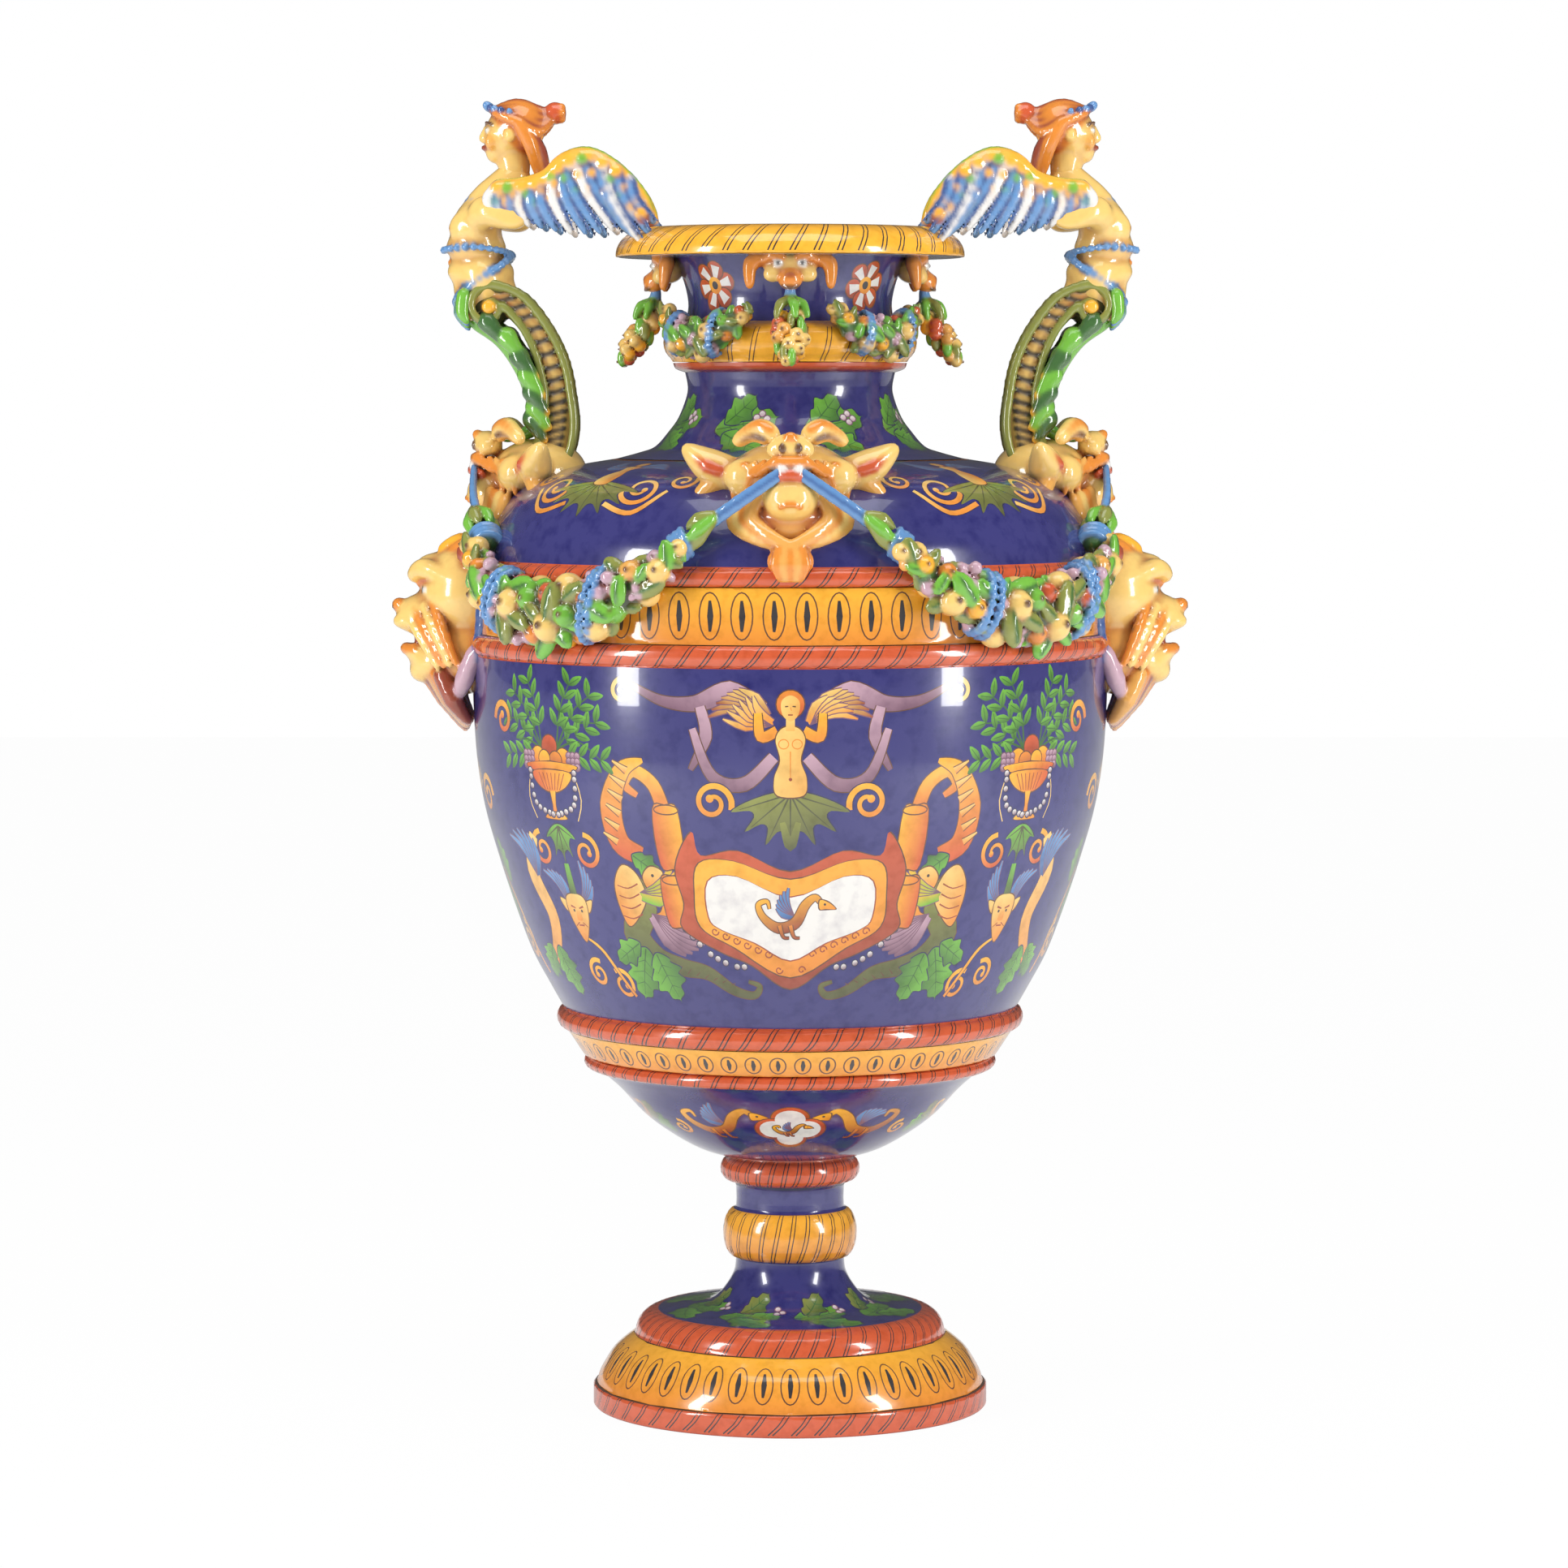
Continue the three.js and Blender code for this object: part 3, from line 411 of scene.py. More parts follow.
def mesh_piece(name, points, faces, corner_colours, material, normals=None, point_colours=None):
    mesh = bpy.data.meshes.new(name)
    mesh.vertices.add(len(points))
    mesh.vertices.foreach_set("co", (np.asarray(points, float) * MM).ravel())
    sides = faces.shape[1]
    mesh.loops.add(faces.size)
    mesh.loops.foreach_set("vertex_index", faces.ravel().astype(np.int32))
    mesh.polygons.add(len(faces))
    mesh.polygons.foreach_set("loop_start", np.arange(0, faces.size, sides, dtype=np.int32))
    mesh.update()
    mesh.validate()
    if point_colours is not None:
        layer = mesh.color_attributes.new("paint", "FLOAT_COLOR", "POINT")
        values = np.ones((len(points), 4))
        values[:, :3] = point_colours
    else:
        layer = mesh.color_attributes.new("paint", "FLOAT_COLOR", "CORNER")
        values = np.ones((len(corner_colours), 4))
        values[:, :3] = corner_colours
    if len(layer.data) == len(values):
        layer.data.foreach_set("color", values.ravel())
    mesh.polygons.foreach_set("use_smooth", np.ones(len(mesh.polygons), bool))
    if normals is not None:
        mesh.normals_split_custom_set_from_vertices([tuple(n) for n in normals])
    mesh.materials.append(material)
    piece = bpy.data.objects.new(name, mesh)
    bpy.context.scene.collection.objects.link(piece)
    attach(piece, "root")
    return piece


# %% [markdown]
# ## Sculpted relief
# Masks, sirens and fruit are modelled as a modeller works in wax: rounded lumps pushed together
# and smoothed. Each lump is a distance formula, the lumps melt into one field, and the skin where
# the field is nought is meshed on a grid. Metaballs would do the same with less control over the
# size of the joints, and none over the paint. Each lump brings its pigment along.

# %% A wax model from rounded lumps
class Wax:
    """Lumps in millimetres; each adds or carves, and brings a pigment."""

    def __init__(self, low, high, step):
        self.low = np.array(low, float)
        counts = np.ceil((np.array(high, float) - self.low) / step).astype(int) + 1
        axes = [self.low[k] + step * np.arange(counts[k]) for k in range(3)]
        self.step = step
        self.grid = np.stack(np.meshgrid(*axes, indexing="ij"), axis=-1).astype(np.float32)
        self.field = np.full(self.grid.shape[:3], 1e3, np.float32)
        self.lumps = []

    def _region(self, centre, reach):
        start = np.maximum(np.floor((centre - reach - self.low) / self.step).astype(int), 0)
        stop = np.minimum(np.ceil((centre + reach - self.low) / self.step).astype(int) + 1,
                          self.field.shape)
        return tuple(slice(a, max(b, a)) for a, b in zip(start, stop))

    def ball(self, centre, radii, tone=None, turn=None, melt=3.0, carve=False):
        centre = np.array(centre, float)
        radii = np.array(radii if np.ndim(radii) else [radii] * 3, float)
        matrix = np.eye(3) if turn is None else turn
        reach = radii.max() + melt * 2 + self.step * 2
        region = self._region(centre, reach)
        self._press(region, lambda p: ball_distance(p, centre, radii, matrix), melt, carve)
        if tone is not None:
            self.lumps.append((lambda p: ball_distance(p, centre, radii, matrix), tone))

    def rod(self, start, end, first, last, tone=None, melt=3.0, carve=False):
        start, end = np.array(start, float), np.array(end, float)
        middle = (start + end) / 2
        reach = np.linalg.norm(end - start) / 2 + max(first, last) + melt * 2 + self.step * 2
        region = self._region(middle, reach)
        self._press(region, lambda p: rod_distance(p, start, end, first, last), melt, carve)
        if tone is not None:
            self.lumps.append((lambda p: rod_distance(p, start, end, first, last), tone))

    def vine(self, points, radii, tone=None, melt=2.0, parts=4, carve=False):
        path = smooth(points, parts=parts)
        sizes = np.interp(np.linspace(0, 1, len(path)), np.linspace(0, 1, len(radii)), radii)
        for i in range(len(path) - 1):
            self.rod(path[i], path[i + 1], sizes[i], sizes[i + 1], tone, melt, carve)

    def _press(self, region, distance, melt, carve):
        old = self.field[region]
        if not old.size:
            return
        new = distance(self.grid[region]).astype(np.float32)
        if carve:
            new = -new
            h = np.clip(0.5 - 0.5 * (old - new) / melt, 0, 1)
            self.field[region] = old * (1 - h) + new * h + melt * h * (1 - h)
        else:
            h = np.clip(0.5 + 0.5 * (old - new) / melt, 0, 1)
            self.field[region] = old * (1 - h) + new * h - melt * h * (1 - h)

    def skin(self):
        return surface_net(self.field, self.low, self.step)

    def paint(self, points, blend=0.7):
        weight = np.full(len(points), 1e-9)
        colour = np.zeros((len(points), 3))
        for distance, tone in self.lumps:
            share = np.exp(-np.clip(distance(points), -4, 30) / blend * 1.6)
            weight += share
            colour += share[:, None] * tone
        return colour / weight[:, None]


def ball_distance(points, centre, radii, matrix):
    local = (points - centre) @ matrix
    scaled = local / radii
    size = np.linalg.norm(scaled, axis=-1)
    slope = np.linalg.norm(scaled / radii, axis=-1)
    return size * (size - 1) / np.maximum(slope, 1e-6)


def rod_distance(points, start, end, first, last):
    line = end - start
    share = np.clip((points - start) @ line / max(line @ line, 1e-9), 0, 1)
    nearest = start + share[..., None] * line
    return np.linalg.norm(points - nearest, axis=-1) - (first + (last - first) * share)


def surface_net(field, low, step):
    """Skin of the field's inside: one point in each cell that the skin crosses."""
    inside = field < 0
    inside[0] = inside[-1] = False
    inside[:, 0] = inside[:, -1] = False
    inside[:, :, 0] = inside[:, :, -1] = False
    shape = np.array(field.shape) - 1
    total = np.zeros(tuple(shape) + (3,), np.float32)
    crossings = np.zeros(tuple(shape), np.float32)
    for axis in range(3):
        lower = [slice(None)] * 3
        upper = [slice(None)] * 3
        lower[axis] = slice(0, -1)
        upper[axis] = slice(1, None)
        a, b = field[tuple(lower)], field[tuple(upper)]
        change = inside[tuple(lower)] != inside[tuple(upper)]
        share = np.where(change, np.clip(a / np.where(change, a - b, 1), 0.02, 0.98), 0)
        others = [k for k in range(3) if k != axis]
        for i in (0, 1):
            for j in (0, 1):
                window = [slice(None)] * 3
                window[others[0]] = slice(i, shape[others[0]] + i)
                window[others[1]] = slice(j, shape[others[1]] + j)
                hit = change[tuple(window)]
                crossings += hit
                total[..., axis] += share[tuple(window)] * hit
                total[..., others[0]] += i * hit
                total[..., others[1]] += j * hit
    used = crossings > 0
    number = np.full(tuple(shape), -1, np.int64)
    number[used] = np.arange(used.sum())
    cells = np.argwhere(used)
    points = low + (cells + total[used] / crossings[used][:, None]) * step
    faces = []
    for axis in range(3):
        others = [(axis + 1) % 3, (axis + 2) % 3]
        lower = [slice(None)] * 3
        upper = [slice(None)] * 3
        lower[axis] = slice(0, -1)
        upper[axis] = slice(1, None)
        first, second = inside[tuple(lower)], inside[tuple(upper)]
        edges = np.argwhere(first != second)
        edges = edges[(edges[:, others[0]] > 0) & (edges[:, others[1]] > 0)]
        edges = edges[(edges[:, others[0]] < shape[others[0]]) & (edges[:,
                others[1]] < shape[others[1]])]
        quad = []
        for i, j in ((1, 1), (0, 1), (0, 0), (1, 0)):
            cell = edges.copy()
            cell[:, others[0]] -= i
            cell[:, others[1]] -= j
            quad.append(number[tuple(cell.T)])
        quad = np.stack(quad, axis=1)
        outward = first[tuple(edges.T)]
        quad[~outward] = quad[~outward][:, ::-1]
        faces.append(quad)
    return points, np.vstack(faces)


def turned_copy(points, quarter):
    angle = quarter * math.pi / 2
    cos, sin = round(math.cos(angle)), round(math.sin(angle))
    x, y = points[:, 0] * cos - points[:, 1] * sin, points[:, 0] * sin + points[:, 1] * cos
    return np.stack([x, y, points[:, 2]], axis=1)


def shaded_hollows(points, faces, colours):
    """Painted shade: the hollows are painted darker and warmer than the ridges."""
    pairs = np.vstack([faces[:, [0, 1]], faces[:, [1, 2]], faces[:, [2, 3]], faces[:, [3, 0]]])
    count = len(points)
    ends, others = pairs.ravel(), pairs[:, ::-1].ravel()
    meetings = np.maximum(np.bincount(ends, minlength=count), 1)

    def around(values):
        return np.stack([np.bincount(ends, column[others], count) / meetings for column in values.T],
                        axis=1)

    facing = np.cross(points[faces[:, 2]] - points[faces[:, 0]],
                      points[faces[:, 3]] - points[faces[:, 1]])
    outward = np.stack([np.bincount(faces.ravel(), np.repeat(column, 4), count) for column in facing.T],
                       axis=1)
    outward /= np.maximum(np.linalg.norm(outward, axis=1, keepdims=True), 1e-9)
    if (facing * (points[faces].mean(axis=1) - points.mean(axis=0))).sum() < 0:
        outward = -outward
    broad = points
    for _ in range(10):
        broad = around(broad)
    depth = around(((broad - points) * outward).sum(axis=1)[:, None])
    hollow = np.clip((depth + 0.15) / 1.1, 0, 1)
    return colours * (1 - hollow * (0.42, 0.70, 0.82))


def finished(wax):
    points, faces = wax.skin()
    # The relief's pigments get painted shade in their hollows.
    return points, faces, shaded_hollows(points, faces, wax.paint(points))


def cast(name, model, node, quarter=0):
    """Turn a finished model into a glazed piece that stands for one node of the frame."""
    points, faces, colours = model
    piece = mesh_piece(name, turned_copy(points, quarter), faces, None, RELIEF, point_colours=colours)
    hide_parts(node)
    return piece


# %% [markdown]
# ## Repeated ornament
# Borders repeat round the wheel: pairs of slanting hatches on the orange mouldings and long
# ovals with a dark bar on the yellow fields. A loop sets each border out in equal steps.

# %% Hatches, ovals, leaves and scrolls
def band(painting, low, high, bottom, top, light, dark=None):
    painting.fill([(low, bottom), (high, bottom), (high, top), (low, top)], light, dark, (0, -1))


def hatch(painting, low, high, bottom, top, pitch, slant, tone=LINE, width=1.1, gap=3.4):
    count = max(int(round((high - low) / pitch)), 1)
    for i in range(count):
        u = low + (i + 0.4) * (high - low) / count
        wave = 0.8 * math.sin(i * 2.7)
        for offset in (0, gap):
            painting.stroke([(u + offset + wave - slant / 2, bottom + 0.6),
                             (u + offset + slant * 0.1, (bottom + top) / 2),
                             (u + offset + slant / 2, top - 0.6)], [width, width * 0.7], tone, parts=3)


def ovals(painting, low, high, middle, wide, tall, count):
    pitch = (high - low) / count
    for i in range(count):
        u = low + (i + 0.5) * pitch
        painting.ring(u, middle, wide / 2, tall / 2, BROWN, 1.1)
        painting.stroke([(u, middle - tall * 0.33), (u + 0.3, middle), (u, middle + tall * 0.33)],
                        [wide * 0.12, wide * 0.3, wide * 0.12], LINE, parts=4)


def leaf(painting, u, v, length, angle, light=GREEN, dark=GREEN_DEEP, lobes=4, width=0.34,
         line=COBALT_DEEP):
    """A lobed leaf from its stalk at (u, v), pointing along the angle in degrees."""
    heading = math.radians(angle)
    along = np.array([math.cos(heading), math.sin(heading)])
    side = np.array([-along[1], along[0]])
    left, right = [], []
    for i in range(lobes * 2 + 1):
        share = i / (lobes * 2)
        swell = math.sin(math.pi * min(share * 0.9 + 0.08, 1)) * width * length
        swell *= 1.0 if i % 2 else 0.66
        spot = np.array([u, v]) + along * length * share
        lead = along * length * (0.05 if i % 2 else 0)
        left.append(spot + side * swell + lead)
        right.append(spot - side * swell + lead)
    tip = np.array([u, v]) + along * length * 1.1
    painting.blob([*left, tip, *right[::-1]], light, dark, line, lean=tuple(-side), parts=3)
    painting.stroke([(u, v), tuple(np.array([u, v]) + along * length * 0.95)], [1.3, 0.4], dark,
                    parts=3)
    for i in range(1, lobes):
        share = i / lobes
        spot = np.array([u, v]) + along * length * share * 0.9
        for k in (-1, 1):
            tip = spot + along * length * 0.13 + k * side * length * width * 0.62 * math.sin(math.pi * share)
            painting.stroke([tuple(spot), tuple(tip)], [0.8, 0.3], dark, parts=2)


def acanthus(painting, u, v, wide, tall, light=GREEN, dark=OLIVE_DEEP, points=7):
    """A skirt of acanthus that spreads downwards from (u, v)."""
    outline = [(u - wide * 0.12, v)]
    for i in range(points):
        share = i / (points - 1)
        angle = math.radians(200 + 140 * share)
        for k, reach in ((-0.35, 0.72), (0, 1.0), (0.35, 0.72)):
            a = angle + math.radians(k * 18)
            outline.append((u + wide / 2 * math.cos(a) * reach * 1.05, v + tall * math.sin(a) * reach))
    outline.append((u + wide * 0.12, v))
    painting.blob(outline, light, dark, COBALT_DEEP, parts=3)
    for i in range(points):
        angle = math.radians(200 + 140 * i / (points - 1))
        painting.stroke([(u, v - 1), (u + wide * 0.45 * math.cos(angle),
                                      v + tall * 0.88 * math.sin(angle))],
                        [1.6, 0.4], dark, parts=3)


def curl(painting, u, v, size, start, turns, widths, light, dark=None, line=COBALT_DEEP, inward=0.25):
    """A spiral scroll round (u, v), from the rim inwards."""
    path = []
    for i in range(int(14 * abs(turns)) + 2):
        share = i / (int(14 * abs(turns)) + 1)
        angle = math.radians(start) + turns * 2 * math.pi * share
        radius = size * (1 - (1 - inward) * share)
        path.append((u + radius * math.cos(angle), v + radius * math.sin(angle)))
    painting.stroke(path, widths, light, dark, line, parts=2)
    painting.disc(path[-1][0], path[-1][1], widths[-1] * 1.0, light, dark)


def beads(painting, points, radius, tone=MAUVE, count=12):
    path = smooth(points, parts=8)
    places = np.linspace(0, len(path) - 1, count).astype(int)
    for place in places:
        painting.disc(path[place][0], path[place][1], radius, tone, MAUVE_DEEP, COBALT_DEEP, parts=8)


def plume(painting, u, v, length, angle, count, spread, light, dark, width=4.0):
    """A fan of feathers from (u, v)."""
    for i in range(count):
        share = i / max(count - 1, 1)
        heading = math.radians(angle + spread * (share - 0.5))
        reach = length * (1 - 0.35 * share)
        bend = math.radians(14)
        mid = (u + reach * 0.55 * math.cos(heading + bend), v + reach * 0.55 * math.sin(heading + bend))
        end = (u + reach * math.cos(heading), v + reach * math.sin(heading))
        painting.stroke([(u, v), mid, end], [width * 0.7, width, 0.8], light, dark, MAUVE_DEEP, parts=3)


# %% [markdown]
# ## The turned body
# Each thrown section gets one painted sheet over its true profile, with the inside wall behind
# it. Curved stretches of the profile are worked out as arcs and smooth curves.

# %% Profiles
def bulge(radius, bottom, top, depth, parts=10, start=-90, stop=90):
    out = []
    for i in range(parts + 1):
        angle = math.radians(start + (stop - start) * i / parts)
        out.append((radius + depth * math.cos(angle),
                    (bottom + top) / 2 + (top - bottom) / 2 * math.sin(angle)))
    return out


def flowing(points, parts=5):
    return [tuple(p) for p in smooth(points, parts=parts)]


FOOT = ([(138, 0), (149.4, 0.0), (150.6, 1.4), (150.6, 15.4), (149.4, 16.6), (147.6, 17.4)]
        + flowing([(147.6, 17.4), (146.2, 23), (143, 29.5), (136, 40.5), (128, 48), (119, 54.6)], 4)
        + bulge(101, 39, 73, 17.2, 8, 0, 90))
STEM = (flowing([(101, 73), (90, 74.4), (76, 76), (62, 78.6), (54, 84.5), (49, 90.6), (45, 97),
                 (42.2, 104), (41.3, 113)], 4)
        + bulge(42.4, 113.5, 150.5, 8.8, 12, -85, 85)
        + [(41.3, 151.5), (41.0, 158), (41.3, 168.5), (44.5, 171.5)]
        + bulge(45.5, 172, 190.8, 7.8, 8, -85, 85) + [(46.3, 192)])
BOWL = flowing([(46.3, 192), (61, 195), (76, 201), (95, 212.5), (112.4, 226), (130, 245), (142, 255.5),
                (147, 259)], 4)
LOWER_BAND = ([(147, 259)] + bulge(151, 259.6, 270, 6.2, 8)
              + flowing([(157.5, 270.6), (160.5, 275), (165, 282), (170.3, 290)], 3)
              + bulge(171.5, 291, 307, 6.3, 8) + [(173.5, 308)])
BELLY = flowing([(173.5, 308), (183, 325), (196.2, 350), (210, 387), (222, 424), (232, 460), (238, 498),
                 (240.6, 540), (241, 575)], 5)
UPPER_BAND = ([(241, 575)] + bulge(239.6, 576, 591, 4.6, 8)
              + [(238, 592), (238, 632.6)] + bulge(236, 633.6, 646.6, 5.2, 8) + [(236, 648)])
SHOULDER = flowing([(236, 648), (232.5, 662), (225.5, 676), (216, 690), (205, 701), (191, 709.4),
                    (165, 717.2), (131, 723)], 5)
NECK = flowing([(131, 723), (114, 727.6), (102, 732.2), (91.5, 744), (84.5, 754), (79, 768),
                (77.5, 777), (79.5, 788)], 4)
NECK_BAND = ([(79.5, 788)] + flowing([(79.5, 788), (86.5, 790.6), (88.6, 795)], 3)
             + bulge(83, 796, 825, 13, 10, -60, 88) + [(79, 826)])
THROAT = flowing([(79, 826), (77, 838), (78.6, 850), (82.4, 862), (88, 874)], 4)
RIM = [(88, 874)] + flowing([(88, 874), (110, 874.4), (129.6, 874.6), (131.9, 876.2)], 3) + bulge(105,
        855.4, 897, 27, 12, 0, 90)

QUARTER = math.pi / 2


def shell(name, wall, painting, ground_tone, sector, repeats, inner, material=None, lead=0.0):
    def ground(points):
        return np.tile(ground_tone, (len(points), 1))
    piece = wrapped_sheet(name + "_glazed", wall, painting, ground, sector, repeats, material, lead)
    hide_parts(name)
    turned_lining(name + "_inside", inner)
    return piece


def turned_lining(name, profile, sides=96):
    profile = np.array(profile, float)
    turns = np.arange(sides) * 2 * math.pi / sides
    points = np.array([(r * math.sin(t), -r * math.cos(t), z) for r, z in profile for t in turns])
    faces = []
    for i in range(len(profile) - 1):
        for k in range(sides):
            n = (k + 1) % sides
            faces.append((i * sides + k, (i + 1) * sides + k, (i + 1) * sides + n, i * sides + n))
    faces = np.array(faces)
    piece = mesh_piece(name, points, faces, np.tile(CREAM, (faces.size, 1)), CLAY)
    return piece


# %% [markdown]
# ### Foot, stem and bands
# The wheel is set out by angle, so a border repeats four or six times round and closes exactly.

# %% Foot
foot_wall = Wall(FOOT, 150.0, 6.0)
art = Painting()
reach = 150.0 * QUARTER / 2
mark = [float(v) for v in (foot_wall.height_to_length(0.5), foot_wall.height_to_length(16.8),
                           foot_wall.height_to_length(54.4), foot_wall.lengths[-1])]
band(art, -reach, reach, 0, mark[1], ORANGE)
band(art, -reach, reach, mark[1], mark[2], YELLOW, AMBER)
band(art, -reach, reach, mark[2], mark[3], ORANGE)
hatch(art, -reach, reach, foot_wall.height_to_length(1.6), mark[1], 17, 12)
hatch(art, -reach, reach, mark[2], mark[3], 17, 14)
ovals(art, -reach, reach, (mark[1] + mark[2]) / 2 - 1, 15, 30, 11)
for level in (mark[1], mark[2]):
    art.stroke([(-reach, level), (0, level), (reach, level)], [1.4, 1.4], BROWN, parts=2)
shell("foot", foot_wall, art, YELLOW, QUARTER, 4,
      [(101, 73), (7, 73), (7, 58), (88, 58), (131.7, 17), (138, 0)])

# %% [markdown]
# The stem carries a yellow knop and an orange collar on cobalt. Leaves and berries grow on its skirt.

# %% Stem
stem_wall = Wall(STEM, 60.0, 4.0)
art = Painting()
reach = 60.0 * QUARTER / 2
knop_low, knop_high = stem_wall.height_to_length(113.6), stem_wall.height_to_length(150.4)
collar_low, collar_high = stem_wall.height_to_length(171.2), stem_wall.lengths[-1]
for k in (-1, 1):
    u = k * reach / 2
    leaf(art, u - 20, 26 + 3 * k, 38, 16, GREEN, GREEN_DEEP, 4, 0.46)
    leaf(art, u - 10, 22, 28, -36, GREEN, GREEN_DEEP, 3, 0.44)
    leaf(art, u - 12, 36, 26, 54, OLIVE, GREEN_DEEP, 3, 0.42)
    for du, dv in ((14, 44), (18, 40), (14, 38)):
        art.disc(u + du, dv, 2.1, WHITE, MAUVE, MAUVE_DEEP, parts=8)
band(art, -reach, reach, knop_low, knop_high, YELLOW, AMBER)
hatch(art, -reach, reach, knop_low, knop_high, 13, 9)
band(art, -reach, reach, collar_low, collar_high, ORANGE)
hatch(art, -reach, reach, collar_low, collar_high, 12, 7)
shell("stem", stem_wall, art, COBALT, QUARTER, 4, [(46.3, 192), (27, 192), (27, 103), (50, 73)], GROUND)

# %% [markdown]
# Two yellow bands with long ovals lie between orange mouldings, one below the belly and one above.

# %% Lower and upper bands
lower_wall = Wall(LOWER_BAND, 165.0, 6.0)
art = Painting()
reach = 165.0 * QUARTER / 2
low, high = lower_wall.height_to_length(270.3), lower_wall.height_to_length(290.6)
band(art, -reach, reach, 0, low, ORANGE)
band(art, -reach, reach, low, high, YELLOW, AMBER)
band(art, -reach, reach, high, lower_wall.lengths[-1], ORANGE)
hatch(art, -reach, reach, 0, low, 15, 10)
hatch(art, -reach, reach, high, lower_wall.lengths[-1], 15, 12)
ovals(art, -reach, reach, (low + high) / 2, 12, 15, 14)
for level in (low, high):
    art.stroke([(-reach, level), (0, level), (reach, level)], [1.2, 1.2], BROWN, parts=2)
shell("lower_band", lower_wall, art, YELLOW, QUARTER, 4,
      [(173.5, 308), (162.5, 308), (136, 259), (147, 259)])

upper_wall = Wall(UPPER_BAND, 240.0, 7.0)
art = Painting()
reach = 240.0 * QUARTER / 2
low, high = upper_wall.height_to_length(591.6), upper_wall.height_to_length(633.4)
band(art, -reach, reach, 0, low, ORANGE)
band(art, -reach, reach, low, high, YELLOW, AMBER)
band(art, -reach, reach, high, upper_wall.lengths[-1], ORANGE)
hatch(art, -reach, reach, 0, low, 17, 14)
hatch(art, -reach, reach, high, upper_wall.lengths[-1], 17, 12)
ovals(art, -reach, reach, (low + high) / 2, 16, 34, 16)
for level in (low, high):
    art.stroke([(-reach, level), (0, level), (reach, level)], [1.3, 1.3], BROWN, parts=2)
shell("upper_band", upper_wall, art, YELLOW, QUARTER, 4,
      [(236, 648), (225, 648), (230, 575), (241, 575)])

# %% [markdown]
# ### The painted grounds
# Grotesque ornament grows from a middle line and is mirrored: a strapwork panel with a small
# winged beast, a winged half figure in an acanthus skirt, fruit dishes, long-tailed creatures and
# curling tendrils on dark brushed cobalt. Faces are small and plain.

# %% Painted figures
def winged_figure(art, u, v, size, wing_light=MAUVE, wing_dark=MAUVE_DEEP):
    """A half figure with spread wings, growing out of an acanthus skirt at (u, v)."""
    s = size / 60
    acanthus(art, u, v + 2 * s, 84 * s, 40 * s, OLIVE, OLIVE_DEEP, 7)
    for k in (-1, 1):
        plume(art, u + k * 12 * s, v + 50 * s, 34 * s, 90 - k * 62, 6, k * 50, CREAM, AMBER, 5 * s)
        art.stroke([(u + k * 9 * s, v + 44 * s), (u + k * 20 * s, v + 40 * s),
                    (u + k * 22 * s, v + 56 * s)],
                   [7 * s, 7 * s, 5 * s], YELLOW, AMBER, BROWN)
    art.blob([(u - 9 * s, v), (u - 11 * s, v + 12 * s), (u - 7 * s, v + 24 * s),
              (u - 10 * s, v + 38 * s), (u - 5 * s, v + 46 * s),
              (u + 5 * s, v + 46 * s), (u + 10 * s, v + 38 * s), (u + 7 * s, v + 24 * s),
              (u + 11 * s, v + 12 * s), (u + 9 * s, v)],
             CREAM, FLESH, BROWN, lean=(1, -0.4))
    for k in (-1, 1):
        art.ring(u + k * 4.6 * s, v + 35 * s, 3.4 * s, 3.2 * s, AMBER, 0.8)
    art.stroke([(u, v + 30 * s), (u, v + 12 * s)], [0.9, 0.6], AMBER)
    art.disc(u, v + 11 * s, 1.2 * s, RUSSET)
    art.stroke([(u, v + 44 * s), (u, v + 52 * s)], [6 * s, 6 * s], CREAM, FLESH)
    art.disc(u, v + 62 * s, 9.4 * s, AMBER, ORANGE, BROWN, parts=18)
    art.blob([(u - 6 * s, v + 64 * s), (u - 5.4 * s, v + 55 * s), (u, v + 50.5 * s),
              (u + 5.4 * s, v + 55 * s), (u + 6 * s, v + 64 * s),
              (u, v + 68 * s)], CREAM, FLESH, lean=(1, -0.3))
    for k in (-1, 1):
        art.stroke([(u + k * 3.6 * s, v + 60.4 * s), (u + k * 1.4 * s, v + 60.6 * s)], [1.1, 0.8],
                   BROWN, parts=2)
    art.stroke([(u, v + 60 * s), (u + 0.7 * s, v + 57.6 * s)], [0.8, 0.6], AMBER, parts=2)
    art.stroke([(u - 1.6 * s, v + 54.8 * s), (u + 1.6 * s, v + 54.8 * s)], [1.0, 0.9], RUSSET, parts=2)


